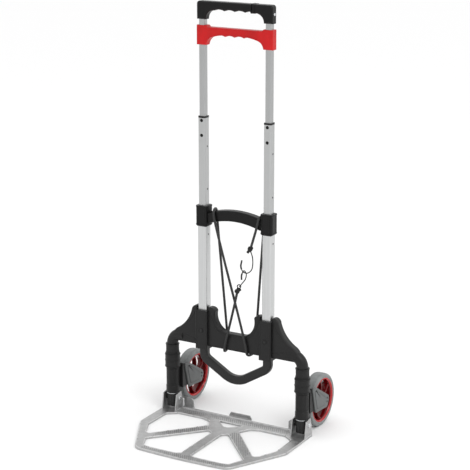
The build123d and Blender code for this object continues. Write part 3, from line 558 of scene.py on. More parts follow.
@dataclass(frozen=True)
class ZincPlate(Metal):
    """Bright zinc on steel rivets, axles and washers: a metal with a fine drawn grain."""

    def relief(self, tree: bpy.types.NodeTree, place: bpy.types.NodeSocket) -> tuple:
        """Passivation clouds the tone a little; the grain is 0.5 mm."""
        normal, _ = eased_edge(tree, 0.4)
        cloud = noise(tree, place, (3, 3, 3), 3.0)
        grain = noise(tree, place, (0.5, 0.5, 0.5), 1.0)
        colour = self.mottle(tree, cloud, 0.92, 1.05)
        return colour, *self.skin(tree, (cloud, 0.04, 0.06), (grain, 0.3, 0.02), normal)


@dataclass(frozen=True)
class TyreRubber(Finish):
    """Grey thermoplastic rubber: matt, a little dusty, with scuffs along the tread."""

    def sockets(self) -> dict:
        """Rubber's index and the soft glow of its dust."""
        return {"IOR": 1.52, "Sheen Weight": 0.15, "Sheen Roughness": 0.5}

    def relief(self, tree: bpy.types.NodeTree, place: bpy.types.NodeSocket) -> tuple:
        """Fine pores and broad scuffs."""
        pores = noise(tree, place, (0.8, 0.8, 0.8), 3.0)
        scuff = noise(tree, place, (11, 11, 11), 4.0)
        colour = self.mottle(tree, scuff, 0.92, 1.06)
        return colour, *self.skin(tree, (scuff, 0.06, 0.08), (pores, 0.6, 0.07))


@dataclass(frozen=True)
class BraidedCord(Finish):
    """Woven polyester sheath of a bungee: two sets of strands that cross on the slant.

    A strand is about 0.9 mm wide; the pattern reads the cord's own UV map, in which U runs
    once round it and V along it.
    """

    turns_per_metre: float = 160.0
    strands: float = 8.0

    def relief(self, tree: bpy.types.NodeTree, place: bpy.types.NodeSocket) -> tuple:
        """Height is the product of two sine waves along u + v and u - v; the colour is darker in the troughs
        and lighter on the crests, painted shade and painted highlight.
        """
        uv = add_node(tree, "ShaderNodeUVMap").outputs[0]
        parts = add_node(tree, "ShaderNodeSeparateXYZ", links={0: uv})
        waves = []
        for sign in (1.0, -1.0):
            along = add_node(tree, "ShaderNodeMath", settings={"operation": "MULTIPLY"},
                             values={1: sign * self.turns_per_metre * math.tau}, links={0: parts.outputs[1]})
            slant = add_node(tree, "ShaderNodeMath", settings={"operation": "MULTIPLY_ADD"},
                             values={1: self.strands * math.tau},
                             links={0: parts.outputs[0], 2: along.outputs[0]})
            wave = add_node(tree, "ShaderNodeMath", settings={"operation": "SINE"},
                            links={0: slant.outputs[0]})
            waves.append(wave.outputs[0])
        weave = add_node(tree, "ShaderNodeMath", settings={"operation": "MULTIPLY"},
                         links={0: waves[0], 1: waves[1]})
        height = add_node(tree, "ShaderNodeMapRange", values={"From Min": -1.0},
                          links={"Value": weave.outputs[0]}).outputs[0]
        # painted shade in the weave's troughs and painted highlight on its crests
        colour = add_node(tree, "ShaderNodeMix", settings={"data_type": "RGBA"}, links={0: height},
                          values={6: linear(shifted(self.colour, 0.7)), 7: linear(shifted(self.colour, 1.4))})
        rough = add_node(tree, "ShaderNodeMapRange", links={"Value": height},
                         values={"To Min": self.roughness + 0.05, "To Max": self.roughness - 0.1})
        bump = add_node(tree, "ShaderNodeBump", values={"Strength": 0.8, "Distance": 0.25 * MM},
                        links={"Height": height})
        return colour.outputs[2], rough.outputs[0], bump.outputs[0]


@dataclass(frozen=True)
class StudioFloor(Finish):
    """Pale matt studio paper."""

    def relief(self, tree: bpy.types.NodeTree, place: bpy.types.NodeSocket) -> tuple:
        """Paper tooth, far too fine to show from the camera."""
        tooth = noise(tree, place, (3, 3, 3), 2.0)
        colour = self.mottle(tree, tooth, 0.995, 1.0)
        return colour, *self.skin(tree, (tooth, 0.02, 0.0), (tooth, 0.1, 0.05))


BLACK_NYLON = MouldedPlastic("black_moulded_nylon", "191919", 0.38, specular=0.26)
JET_NYLON = MouldedPlastic("jet_black_moulded_nylon", "0C0C0C", 0.34, specular=0.2)
GREY_ABS = MouldedPlastic("grey_moulded_abs", "5C5E5E", 0.45)
RED_ABS = MouldedPlastic("red_moulded_abs", "B81416", 0.36, specular=0.22)
RED_GLOSS = MouldedPlastic("red_polished_abs", "AC1014", 0.16, grain_height_mm=0.01, edge_mm=0.6,
                           coat=0.3)
# darker copy of the rim's red: painted shade on the hub, the rim's inner wall and the spokes
RED_PAINTED_SHADE = MouldedPlastic("red_polished_abs_painted_shade", "5A0407", 0.1, grain_height_mm=0.01, edge_mm=0.5)
OUTER_ALUMINIUM = DrawnAluminium("anodised_aluminium_outer_tube", "C6C7C7", 0.34)
MIDDLE_ALUMINIUM = DrawnAluminium("anodised_aluminium_middle_tube", "B4B5B5", 0.34)
INNER_ALUMINIUM = DrawnAluminium("anodised_aluminium_inner_tube", "ABACAC", 0.34)
SHEET_ALUMINIUM = PressedSheet("tumbled_aluminium_sheet", "B8B8B8", 0.46)
# darker copy of the sheet: painted shade on the pips
PIP_SHADE_ALUMINIUM = PressedSheet("aluminium_pips_painted_shade", "868686", 0.5)
# lighter copy of the sheet: painted highlight on the rolled rims
RIM_HIGHLIGHT_ALUMINIUM = PressedSheet("aluminium_rim_painted_highlight", "D0D0D0", 0.3)
BLACK_COAT = PowderCoat("black_powder_coat", "181818", 0.3)
BRIGHT_ZINC = ZincPlate("bright_zinc_plate", "D4D6D8", 0.24)
GREY_RUBBER = TyreRubber("grey_tyre_rubber", "787B7B", 0.62)
CORD_SHEATH = BraidedCord("black_braided_sheath", "1C1C1C", 0.6)


def dress(piece: Mesh, finish: Finish) -> None:
    """Put one finish on every face of a piece."""
    piece.data.materials.clear()
    piece.data.materials.append(finish.make())


def dress_nodes(finish: Finish, *stems: str, both: bool = False) -> None:
    """Put a finish on CAD nodes that stay.

    Args:
        finish: the finish.
        stems: node names, or the common part of a left and right pair's names.
        both: whether each stem names a pair.
    """
    names = [side.named(stem) for stem in stems for side in Side] if both else stems
    for name in names:
        dress(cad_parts[name], finish)
        LOG.info("dressed CAD node %s with %s", name, finish.name)


def fit(piece: Mesh, body: str, slot: str, finish: Finish, *replaced: str) -> Mesh:
    """Dress a new piece and make it ride on its body.

    Args:
        piece: the new piece.
        body: name of the body that carries it.
        slot: material slot that it belongs to; not used.
        finish: its finish.
        replaced: CAD nodes that it takes the place of.

    Returns:
        The piece.
    """
    dress(piece, finish)
    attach(piece, body)
    if replaced:
        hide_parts(*replaced)
    LOG.info("built %s on %s", piece.name, body)
    return piece


# ---- places read from the CAD model --------------------------------------------------------
def middle(node: str) -> Vector:
    """Middle of a CAD node's box, in metres."""
    low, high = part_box(node)
    return (low + high) / 2


POST_Y = middle("swivel_post_right").y
POST_X = middle("swivel_post_right").x
UPRIGHT_X = middle("outer_tube_right").x
AXLE = middle("wheel_axle_right")
WHEEL_X = middle("wheel_tyre_right").x


def place(points: Iterable) -> Points:
    """Points in millimetres from the uprights' plane, moved into the CAD model's frame."""
    return np.asarray(points, float) * MM + np.array([0.0, POST_Y, 0.0])


def level(flat: Points, z: float) -> Points:
    """Points (n, 2) of X and Y, laid level at height z."""
    return np.column_stack([flat, np.full(len(flat), z)])


def facing(flat: Points, x: float) -> Points:
    """Points (n, 2) of Y and Z, stood across the truck at x."""
    return np.column_stack([np.full(len(flat), x), flat])


def upright(x: float, y: float, low: float, high: float, count: int) -> Points:
    """Upright line.

    Args:
        x: X of the line.
        y: Y of the line.
        low: height of its foot.
        high: height of its top.
        count: how many points it has.

    Returns:
        Points (count, 3), from the foot up.
    """
    return np.column_stack([np.full(count, x), np.full(count, y), np.linspace(low, high, count)])


def capped(rows: list) -> Points:
    """Rows of points in millimetres as a grid, closed by gathering each end row to its middle."""
    head, foot = (np.broadcast_to(row.mean(0), row.shape) for row in (rows[0], rows[-1]))
    return place([head, *rows, foot])


def lip(z: float, stand: float) -> list:
    """Section of a rolled lip 2.2 mm high that stands out from a bar, as (offset, z) corners."""
    return [(-1.0, z), (stand - 0.2, z + 0.2), (stand, z + 1.1), (stand - 0.2, z + 2.0), (-1.0, z + 2.2)]


def hoop(outline: Callable[[float], Points], profile: Iterable, x: float) -> Points:
    """Ring round an upright bar, all in millimetres.

    Args:
        outline: gives the bar's outline (m, 2), grown by an offset.
        profile: (offset, z) corners of the ring's own section, in order round it.
        x: X of the bar's axis.

    Returns:
        Grid of points in the CAD model's frame; its last row repeats the first.
    """
    return place([level(outline(offset) + np.array([x, 0.0]), z) for offset, z in (*profile, profile[0])])


def bead(path: Iterable, width: float, height: float, across: tuple = (0, 1, 0)) -> Points:
    """Half-sunk rounded bead along a path, in millimetres.

    Args:
        path: points of its centre line.
        width: size along the surface.
        height: full size along across, half of which stands out.
        across: direction that the surface faces.

    Returns:
        Grid of points in the CAD model's frame.
    """
    section = circle(0.5, 10) * np.array([height, width]) * MM
    return carried(section, place(path), across)


def mirrored(grids: Iterable[Points]) -> list:
    """The grids and their mirror images across the middle plane."""
    kept = list(grids)
    return kept + [grid * np.array([-1.0, 1.0, 1.0]) for grid in kept]


# ---- handle ------------------------------------------------------------------------------
@dataclass
class Handle:
    """Grip and release bar: the seam of the bar's sleeve, and the ridges of the mouldings."""

    grip_top: float = 1030.0
    grip_depth: float = 23.2
    bar_height: float = 21.0
    sleeve: tuple = (43.5, 55.0)        # X of the raised sleeve's ends
    sleeve_corner: float = 5.0
    release_face: float = 10.6
    release_top: float = 967.0
    hollow_half: float = 70.0
    hollow_foot: float = 944.0
    hollow_rise: float = 12.5

    def build_grip_seam(self) -> Mesh:
        """Raised sleeve near the right end of the bar, with stepped ends."""
        start, end = self.sleeve
        middle_height = np.array([0.0, self.grip_top - self.bar_height / 2])
        rows = []
        steps = ((start, 0.0), (start, 1.0), (start + 0.8, 1.5), (start + 2.6, 1.5), (start + 3.0, 0.2),
                 (start + 4.4, 0.2), (start + 4.8, 1.3), (end - 1.0, 1.3), (end, 0.0))
        for x, grow in steps:
            depth, height = self.grip_depth - 0.4 + 2 * grow, self.bar_height - 1.2 + 2 * grow
            rows.append(facing(rounded_box(depth, height, self.sleeve_corner) + middle_height, x))
        return solid("grip_sleeve", [capped(rows)])

    def build_release_ridges(self) -> Mesh:
        """Ridges along the bar's top edge and over the finger hollows, in front and behind.

        The lower one's height is foot + rise * (1 - (x / half)^2)^0.7.
        """
        x = np.linspace(-self.hollow_half, self.hollow_half, 60)
        arched = self.hollow_foot + self.hollow_rise * (1 - (x / self.hollow_half) ** 2) ** 0.7
        straight = np.full_like(x, self.release_top)
        grids = []
        for face in (-self.release_face, self.release_face):
            y = np.full_like(x, face)
            grids.append(bead(np.stack([x, y, arched], -1), 2.6, 1.5))
            grids.append(bead(np.stack([x, y, straight], -1)[4:-4], 1.4, 0.9))
        return solid("release_bar_ridges", grids)

    def build(self) -> None:
        """Build the handle's details."""
        fit(self.build_grip_seam(), "handle_stage", "black_plastic", JET_NYLON)
        fit(self.build_release_ridges(), "release", "red_plastic", RED_ABS)


# ---- crosspieces -------------------------------------------------------------------------
@dataclass
class Crosspieces:
    """Rims, ribs and screws of the two mouldings that hold the uprights."""

    collar_half: float = 15.2
    collar_span: tuple = (498.0, 537.0)
    arch_face: float = 11.0
    arch_edges: tuple = ((522.6, 12.0), (501.6, 12.6))      # height at the ends, and rise in the middle
    web_face: float = 11.0
    box_face: float = 18.0
    box_span: tuple = (187.0, 276.0)
    screw_height: float = 229.0
    screw_ring: float = 5.2

    def collar_outline(self, grow: float) -> Points:
        """Square outline of an upright's collar, grown by an offset."""
        return rounded_box(2 * (self.collar_half + grow), 2 * (self.collar_half + grow), 5 + grow)

    def collar_bands(self, x: float) -> list:
        """Rolled lips at the top and the foot of a collar, and its upright flutes."""
        grids = []
        for z in (494.0, 538.4):
            section = [(-1.0, z), (0.7, z + 0.3), (0.9, z + 1.4), (0.7, z + 2.4), (-1.0, z + 2.8)]
            grids.append(hoop(self.collar_outline, section, x))
        for offset in (-9.5, 9.5):
            front = upright(x + offset, -self.collar_half, *self.collar_span, 6)
            right = upright(x + self.collar_half, offset, *self.collar_span, 6)
            grids += [bead(front, 2.0, 1.3), bead(right, 2.0, 1.3, (1, 0, 0))]
        return grids

    def arch_rims(self) -> list:
        """Bead along the arch's top and bottom edges, on both faces: z = end + rise * (1 - (x / half)^2)."""
        half = 71.0
        x = np.linspace(-half, half, 48)
        return [bead(np.stack([x, np.full_like(x, face), end + rise * (1 - (x / half) ** 2)], -1), 2.4, 1.4)
                for end, rise in self.arch_edges for face in (-self.arch_face, self.arch_face)]

    def build_upper(self) -> Mesh:
        """All the upper crosspiece's details."""
        x = UPRIGHT_X / MM
        grids = [*self.collar_bands(x), *self.collar_bands(-x), *self.arch_rims()]
        return solid("upper_crosspiece_details", grids)

    def web_rims(self) -> list:
        """Bead just inside the edge of each wing and along the beam, on both faces."""
        wing_top = smooth_path([(109, 0, 276), (115, 0, 262), (126, 0, 247), (138, 0, 236)], 24)
        wing_low = smooth_path([(108, 0, 201), (122, 0, 204), (136, 0, 208)], 16)
        inner = smooth_path([(68, 0, 274), (61, 0, 258), (52, 0, 240), (40, 0, 229.5), (26, 0, 227.5),
                             (0, 0, 227.5)], 30)
        low = smooth_path([(68, 0, 190.5), (34, 0, 190.5), (0, 0, 190.5)], 16)
        faces = (-self.web_face, self.web_face)
        return mirrored([bead(path + np.array([0, face, 0]), 3.0, 1.6)
                         for path in (wing_top, wing_low, inner, low) for face in faces])

    def box_lines(self) -> list:
        """Upright flutes near the edges of each tube box, in front and behind."""
        return mirrored([bead(upright(UPRIGHT_X / MM + offset, face, *self.box_span, 8), 2.0, 1.4)
                         for offset in (-13.2, 13.2) for face in (-self.box_face, self.box_face)])

    def screw_rings(self) -> list:
        """Raised seat round each box's screw."""
        angle = np.linspace(0, 2 * np.pi, 33)
        ring = self.screw_ring * np.stack([np.cos(angle), 0 * angle, np.sin(angle)], -1)
        centre = np.array([UPRIGHT_X / MM, -self.box_face, self.screw_height])
        return mirrored([bead(ring + centre, 2.4, 2.6)])

    def build_lower(self) -> Mesh:
        """All the lower crosspiece's details."""
        return solid("lower_crosspiece_details", [*self.web_rims(), *self.box_lines(), *self.screw_rings()])

    def build(self) -> None:
        """Build both crosspieces' details."""
        fit(self.build_upper(), "frame", "black_plastic", JET_NYLON)
        fit(self.build_lower(), "frame", "black_plastic", BLACK_NYLON)


# ---- posts -------------------------------------------------------------------------------
@dataclass
class Posts:
    """Rings, lugs and ribs of the swivel posts and of the fork sleeves that turn on them."""

    collar_radius: float = 16.5
    cam_radius: float = 18.75
    sleeve_radius: float = 15.5
    bore: float = 10.95             # radius of the round post
    foot_width: float = 26.0
    foot_depth: float = 24.0
    foot_corner: float = 7.0
    pin_height: float = 32.0

    def around(self, radius: float) -> Callable[[float], Points]:
        """Outline of a round bar of this radius, in millimetres."""
        return lambda grow: circle(radius + grow, 48)

    def upright_ribs(self, x: float, radius: float, span: tuple, count: int, width: float) -> list:
        """Upright beads, evenly spaced round a bar.

        Args:
            x: X of the bar's axis.
            radius: how far the beads' centre lines lie from it.
            span: heights of their lower and upper ends.
            count: how many there are.
            width: width of each.

        Returns:
            One grid for each bead.
        """
        return [bead(upright(x + radius * math.cos(angle), radius * math.sin(angle), *span, 5), width, 1.3,
                     (math.cos(angle), math.sin(angle), 0.0))
                for angle in np.linspace(0, 2 * np.pi, count, endpoint=False)]

    def build_collar(self, side: Side) -> Mesh:
        """Lip rings and six ribs on the fixed collar at the post's top."""
        x = side.value * POST_X / MM
        grids = [hoop(self.around(self.collar_radius), lip(z, 1.0), x) for z in (152.5, 172.6)]
        grids += self.upright_ribs(x, self.collar_radius, (155.0, 172.0), 6, 3.2)
        return solid(side.named("post_collar_details"), grids)

    def build_sleeve(self, side: Side) -> Mesh:
        """Rings, clip lugs and ribs on the fork's sleeve; the foot's stay inside the plate's ears."""
        x = side.value * POST_X / MM
        cam, plain, foot = self.cam_radius, self.sleeve_radius, 16.4
        rings = ((cam, 115.0), (cam, 146.4), (cam, 131.0), (plain, 108.6), (plain, 69.0), (foot, 48.2))
        grids = [hoop(self.around(radius), lip(z, 0.9), x) for radius, z in rings]
        grids += self.upright_ribs(x, plain, (71.0, 108.0), 12, 2.2)
        grids += self.upright_ribs(x, 16.0, (51.0, 64.0), 12, 2.6)
        for turn in (-0.4, 1.2, 2.9, 4.3):
            out = np.array([math.cos(turn), math.sin(turn), 0.0])
            grids.append(bead(upright(x, 0.0, 119.0, 129.0, 4) + 18.0 * out, 8.0, 2.4, tuple(out)))
        return solid(side.named("fork_sleeve_details"), grids)

    def build_post(self, side: Side) -> Mesh:
        """Round post, its ribbed foot and the two bosses that the plate's pin goes through."""
        x = side.value * POST_X / MM
        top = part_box(side.named("swivel_post"))[1].z / MM
        tube = np.array([(0, 20.0), (self.bore, 20.0), (self.bore, top), (0, top)])
        half = self.foot_depth / 2
        foot = []
        for inset, z in ((half, 10.4), (2.4, 10.4), (0.0, 12.8), (0.0, 43.2), (1.6, 44.8), (half, 44.8)):
            flat = rounded_box(self.foot_width - 2 * inset, self.foot_depth - 2 * inset,
                               max(self.foot_corner - inset, 0.0), 8)
            foot.append(level(flat + np.array([x, 0.0]), z))
        boss = np.array([(-17.4, 0), (-17.4, 6.6), (-16.8, 7.2), (-10.0, 7.6),
                         (10.0, 7.6), (16.8, 7.2), (17.4, 6.6), (17.4, 0)])
        grids = [stood(tube * MM, tuple(place([x, 0, 0])), 72), place(foot),
                 turned(boss * MM, tuple(place([x, 0, self.pin_height])), 48)]
        for offset in (-6.4, 0.0, 6.4):
            grids += [bead(upright(x + offset, face, 14.0, 42.0, 8), 2.6, 1.8) for face in (-half, half)]
        return solid(side.named("post"), grids)

    def build_washer(self, side: Side) -> Mesh:
        """Bright washer under the sleeve, with rounded edges."""
        x = side.value * POST_X / MM
        low, high = (corner.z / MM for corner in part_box(side.named("thrust_washer")))
        rows = [(0.2, low), (5.0, low), (5.4, low + 0.5), (5.4, high - 0.5), (5.0, high), (0.2, high)]
        return solid(side.named("washer"), [hoop(self.around(11.0), rows, x)])

    def build(self) -> None:
        """Build both posts' details."""
        for side in Side:
            fit(self.build_collar(side), "frame", "black_plastic", BLACK_NYLON)
            fit(self.build_sleeve(side), side.named("fork"), "black_plastic", BLACK_NYLON)
            fit(self.build_post(side), "frame", "black_steel", BLACK_COAT, side.named("swivel_post"))
            fit(self.build_washer(side), "frame", "bright_steel", BRIGHT_ZINC, side.named("thrust_washer"))


# ---- wheels ------------------------------------------------------------------------------
@dataclass
class Wheel:
    """One swing-in wheel: tyre, rim with curved spokes, and the fork's covers."""

    side: Side
    radius: float = 66.0
    rim_radius: float = 54.6
    spokes: int = 6
    cover_outline: list = field(default_factory=lambda: [
        (38.0, 50.0), (101.0, 45.5), (110.0, 64.0), (107.0, 74.0), (34.0, 119.0), (20.0, 118.0)])
    panel_outline: list = field(default_factory=lambda: [
        (46.0, 58.5), (88.0, 55.5), (92.5, 65.0), (90.0, 74.0), (39.0, 108.0), (31.5, 107.0)])
    panel_corner: float = 7.0
    nose_holes: tuple = ((99.0, 69.0, 4.6), (99.0, 60.0, 4.6), (105.0, 66.0, 2.6))      # Y, Z and size

    def centre(self) -> tuple:
        """Middle of the wheel."""
        return (self.side.value * WHEEL_X, AXLE.y, AXLE.z)

    def lathed(self, right_half: list, steps: int) -> Points:
        """Closed ring round the axle: its profile is a right half and that half's mirror image.

        Args:
            right_half: (x from the wheel's middle, radius) in millimetres, from x = 0 round to x = 0.
            steps: angles round the axle.

        Returns:
            Grid of points in the CAD model's frame.
        """
        half = np.asarray(right_half, float)
        profile = np.vstack([half, half[::-1] * np.array([-1.0, 1.0]), half[:1]])
        return turned(profile * MM, self.centre(), steps)

    def build_tyre(self) -> Mesh:
        """Tread crown with a groove near each shoulder, and a raised line on each sidewall."""
        r = self.radius
        half = [(0, r), (7.6, r - 0.25), (8.2, r - 1.2), (9.4, r - 1.3), (10.0, r - 0.7), (12.4, r - 1.6),
                (13.8, r - 3.2), (14.6, r - 5.2), (14.7, r - 6.6), (14.2, r - 7.1), (14.2, r - 7.9),
                (14.7, r - 8.4), (14.5, r - 10.2), (13.6, r - 11.2), (12.8, r - 11.5), (0, r - 11.5)]
        return solid(self.side.named("tyre"), [self.lathed(half, 128)])

    def build_rim(self) -> Mesh:
        """Rim ring with rolled lips."""
        r = self.rim_radius
        rim = self.lathed([(0, r), (12.8, r), (13.6, r + 0.4), (14.5, r - 0.4), (14.5, r - 1.8),
                           (13.4, r - 2.6), (12.4, r - 3.8), (8.0, r - 5.4), (0, r - 5.8)], 112)
        return solid(self.side.named("rim"), [rim])

    def build_spokes(self) -> Mesh:
        """Waisted hub, a liner ring just inside the rim and curved spokes, all in the rim's red darkened with
        painted shade.

        A spoke's angle is its start + 0.55 * t^1.6, and its width is 1.25 - 0.36 * sin(pi t)^0.6 times
        the plain width, where t runs from 0 at the hub to 1 at the rim.
        """
        r, hub_radius = self.rim_radius, 12.5
        hub = self.lathed([(0, 6.6), (15.0, 6.6), (15.2, 7.4), (15.1, 11.0), (14.2, 12.0), (9.0, 12.6),
                           (7.0, 14.0), (0, 14.2)], 56)
        # ring inside the rim that carries the painted shade of its inner wall
        shade_liner = self.lathed([(0, r - 5.0), (8.4, r - 4.6), (12.2, r - 3.2), (12.2, r - 3.6), (8.4, r - 5.8),
                             (0, r - 6.4)], 112)
        grids = [hub, shade_liner]
        section = rounded_box(14.5 * MM, 6.4 * MM, 2.6 * MM, 4)
        t = np.linspace(0, 1, 14)
        width = np.concatenate([[0], 1.25 - 0.36 * np.sin(np.pi * t) ** 0.6, [0]])[:, None, None]
        distance = (hub_radius + (r - 4.6 - hub_radius) * t) * MM
        for start in np.arange(self.spokes) * 2 * np.pi / self.spokes:
            angle = start + 0.55 * t**1.6
            path = np.stack([0 * t, distance * np.cos(angle), distance * np.sin(angle)], -1)
            spoke = carried(section, path + np.array(self.centre()), (1, 0, 0))
            middle_line = spoke.mean(1, keepdims=True)
            grids.append(middle_line + (spoke - middle_line) * width)
        return solid(self.side.named("rim_spokes"), grids)

    def build_cover(self, face: int) -> Mesh:
        """Cover with a raised panel inside its bevelled border.

        Args:
            face: 1 for the outer cover, -1 for the inner one.

        Returns:
            The cover.
        """
        border = (self.cover_outline, 6.0, ((0.0, 18.05), (0.0, 20.4), (0.4, 20.9), (1.2, 21.2)))
        panel = (self.panel_outline, self.panel_corner, ((0.0, 21.0), (0.0, 21.4), (0.5, 21.95)))
        grids = []
        for corners, radius, steps in (border, panel):
            rows = []
            for inset, out in steps:
                flat = rounded_polygon(inset_polygon(np.array(corners), inset), radius - inset)
                rows.append(facing(flat, self.side.value * (WHEEL_X / MM + face * out)))
            grids.append(capped(rows))
        return solid(f"{self.side.named('fork_cover')}_{'outer' if face > 0 else 'inner'}", grids)

    def build_cover_painted_shade(self) -> Mesh:
        """Painted shade: dark dots for the holes at the nose of each cover, and a dark line in the crease
        round its raised panel.
        """
        outline = rounded_polygon(inset_polygon(np.array(self.panel_outline), -0.4), self.panel_corner)
        grids = []
        for face in (-1, 1):
            x = self.side.value * (WHEEL_X / MM + face * 21.2)
            for y, z, size in self.nose_holes:
                run = [(x, y + shift, z) for shift in np.linspace(-0.4 * size, 0.4 * size, 4)]
                grids.append(bead(run, size, 1.2, (1, 0, 0)))
            # dark line: painted shade in the crease round the panel
            line = facing(outline, x)
            grids.append(bead(np.vstack([line, line[:1]]), 1.3, 0.3, (1, 0, 0)))
        return solid(self.side.named("cover_painted_shade"), grids)

    def build(self) -> None:
        """Build the wheel and its covers."""
        wheel, fork = self.side.named("wheel"), self.side.named("fork")
        fit(self.build_tyre(), wheel, "grey_tyre", GREY_RUBBER, self.side.named("wheel_tyre"))
        fit(self.build_rim(), wheel, "red_gloss_plastic", RED_GLOSS, self.side.named("wheel_rim"))
        # hub, liner and spokes take the rim's red with painted shade
        fit(self.build_spokes(), wheel, "red_gloss_plastic", RED_PAINTED_SHADE)
        fit(self.build_cover(1), fork, "grey_plastic", GREY_ABS, self.side.named("fork_cover_outer"))
        fit(self.build_cover(-1), fork, "grey_plastic", GREY_ABS, self.side.named("fork_cover_inner"))
        # painted shade in the covers' holes and in the crease round each panel
        fit(self.build_cover_painted_shade(), fork, "black_plastic", JET_NYLON)


# ---- toe plate ---------------------------------------------------------------------------
@dataclass
class ToePlate:
    """Rolled rims and anti-slip pips of the pressed plate."""

    top: float = 5.0
    openings: list = field(default_factory=lambda: [
        [(42, -60), (58, -33), (80, -25), (150, -25), (176, -44), (177, -122), (155, -168), (144, -175)],
        [(13, -97), (27, -86), (134, -201), (116, -240), (97, -244), (25, -244), (13, -236)]])
    centre_opening: list = field(default_factory=lambda: [
        (38, -20), (30, -33), (7, -53), (-7, -53), (-30, -33), (-38, -20)])
    outline_right: list = field(default_factory=lambda: [
        (202.0, 10.0), (202.0, -120.0), (125.0, -261.0), (0.0, -266.5)])
    pip_pitch: float = 5.6
    pip_radius: float = 1.45
    pip_height: float = 0.8

    def rim(self, corners: list, radius: float) -> Points:
        """Rolled edge round an opening: a bead that stands a little above the sheet.

        Args:
            corners: the opening's corners.
            radius: its corner radius.

        Returns:
            Grid of points in the CAD model's frame.
        """
        ring = level(rounded_polygon(inset_polygon(np.array(corners, float), 1.2), radius), self.top - 0.3)
        return bead(np.vstack([ring, ring[:1]]), 2.8, 2.2, (0, 0, 1))

    def build_rims(self) -> Mesh:
        """Rolled edges of the five openings and of the outline."""
        grids = mirrored([self.rim(corners, 8.0) for corners in self.openings])
        grids.append(self.rim(self.centre_opening[::-1], 4.0))
        corners = [*self.outline_right, *[(-x, y) for x, y in self.outline_right[-2::-1]]]
        path = arc_path([(x, y, self.top - 0.4) for x, y in corners], 30.0)
        grids.append(bead(path, 3.0, 2.0, (0, 0, 1)))
        return solid("toe_plate_rims", grids)

    def patterned(self, x: Points, y: Points) -> Points:
        """Whether the sheet carries pips at a place: on its rear rail, its spokes and its front rail."""
        rail = (y > -17) & (y < -3) & (np.abs(x) < 150)
        spoke = (y < -70) & (y > -205) & (np.abs(x) > 32) & (np.abs(x) < 128)
        front = (y < -246) & (np.abs(x) < 112)
        return rail | spoke | front

    def build_pips(self) -> Mesh:
        """Low domes in staggered rows, wherever the flat sheet carries them with room to spare.

        Each dome is three rings of eight points, which keeps it to a few dozen faces.
        """
        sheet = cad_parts["toe_plate"]
        tree = BVHTree.FromObject(sheet, bpy.context.evaluated_depsgraph_get())
        columns = np.arange(-190, 190, self.pip_pitch)
        rows = np.arange(-262, 0, self.pip_pitch * 0.87)
        x, y = np.meshgrid(columns, rows)
        x = x + (np.arange(len(rows)) % 2)[:, None] * self.pip_pitch / 2
        keep = self.patterned(x, y)
        places = [at for at in zip(x[keep], y[keep]) if self.is_flat(tree, at)]
        rings = [level(circle(self.pip_radius * reach, 8), lift * self.pip_height)
                 for reach, lift in ((1.0, -0.1), (0.75, 0.7), (0.3, 1.0))]
        dome = np.array([*rings, rings[-1] * np.array([0, 0, 1])])
        LOG.info("placed %d pips", len(places))
        return solid("toe_plate_pips", [place(dome + np.array([px, py, self.top])) for px, py in places])

    def is_flat(self, tree: BVHTree, at: tuple) -> bool:
        """Whether the sheet is flat at its top height at a place and a little way round it.

        Args:
            tree: the sheet's faces.
            at: X and Y of the place.

        Returns:
            True where rays from above all meet the flat top.
        """
        room, above = 3.5, 60.0
        for dx, dy in ((0, 0), (room, 0), (-room, 0), (0, room), (0, -room)):
            start = Vector(place([at[0] + dx, at[1] + dy, above]))
            hit = tree.ray_cast(start, Vector((0, 0, -1)))[0]
            if hit is None or abs(hit.z / MM - self.top) > 0.2:
                return False
        return True

    def build(self) -> None:
        """Build the plate's details."""
        # rolled rims in a lighter sheet finish: painted highlight
        fit(self.build_rims(), "plate", "aluminium_plate", RIM_HIGHLIGHT_ALUMINIUM)
        # pips in a darker sheet finish: painted shade
        fit(self.build_pips(), "plate", "aluminium_plate", PIP_SHADE_ALUMINIUM)


# ---- tube holes --------------------------------------------------------------------------
@dataclass
class TubeHoles:
    """Black studs at the lock holes, which are the lock pins and painted shade in the holes, and dark mouths
    of painted shade at the small side holes.
    """

    middle_face: float = 10.0       # from a middle tube's axis to its faces
    outer_face: float = 12.0
    stud_heights: tuple = (749.0, 713.0)
    hole_heights: tuple = (686.0, 582.0)
    outer_hole_height: float = 470.0
    stud_size: float = 8.2
    hole_size: float = 4.6

    def button(self, at: tuple, size: float, normal: tuple) -> Points:
        """Low round button whose rim stands flush with a face and whose middle stands 0.35 mm out.

        Args:
            at: middle of the hole, on the face.
            size: diameter.
            normal: direction that the face looks in.

        Returns:
            Grid of points in the CAD model's frame.
        """
        out = np.array(normal, float)
        side = np.array([out[1], -out[0], 0.0])
        ring = circle(0.5, 20)
        flat = ring[:, :1] * side + ring[:, 1:] * np.array([0, 0, 1.0])
        rows = [flat * 0 - out, flat * size - out, flat * size, flat * (size - 0.6) + out * 0.25,
                flat * 0 + out * 0.35]
        return place(np.array(rows) + np.array(at))

    def side_holes(self, from_axis: float, heights: tuple) -> list:
        """Dark mouths of painted shade on both side faces of both uprights.

        Args:
            from_axis: from a tube's axis to its side faces.
            heights: Z of each hole.

        Returns:
            One grid for each mouth.
        """
        x = UPRIGHT_X / MM
        return [self.button((side * x + face * from_axis, 0, z), self.hole_size, (face, 0, 0))
                for side in (-1, 1) for face in (-1, 1) for z in heights]

    def build(self) -> None:
        """Build the studs, partly painted shade, and the painted-shade mouths on the middle tubes, and the
        painted-shade mouths on the outer tubes.
        """
        studs = mirrored([self.button((UPRIGHT_X / MM, -self.middle_face, z), self.stud_size, (0, -1, 0))
                          for z in self.stud_heights])
        holes = self.side_holes(self.middle_face, self.hole_heights)
        lower = self.side_holes(self.outer_face, (self.outer_hole_height,))
        # the studs are the lock pins with painted shade round them; the mouths are painted shade in the holes
        fit(solid("middle_tube_studs", [*studs, *holes]), "middle_stage", "black_plastic", JET_NYLON)
        fit(solid("outer_tube_hole_shade", lower), "frame", "black_plastic", JET_NYLON)


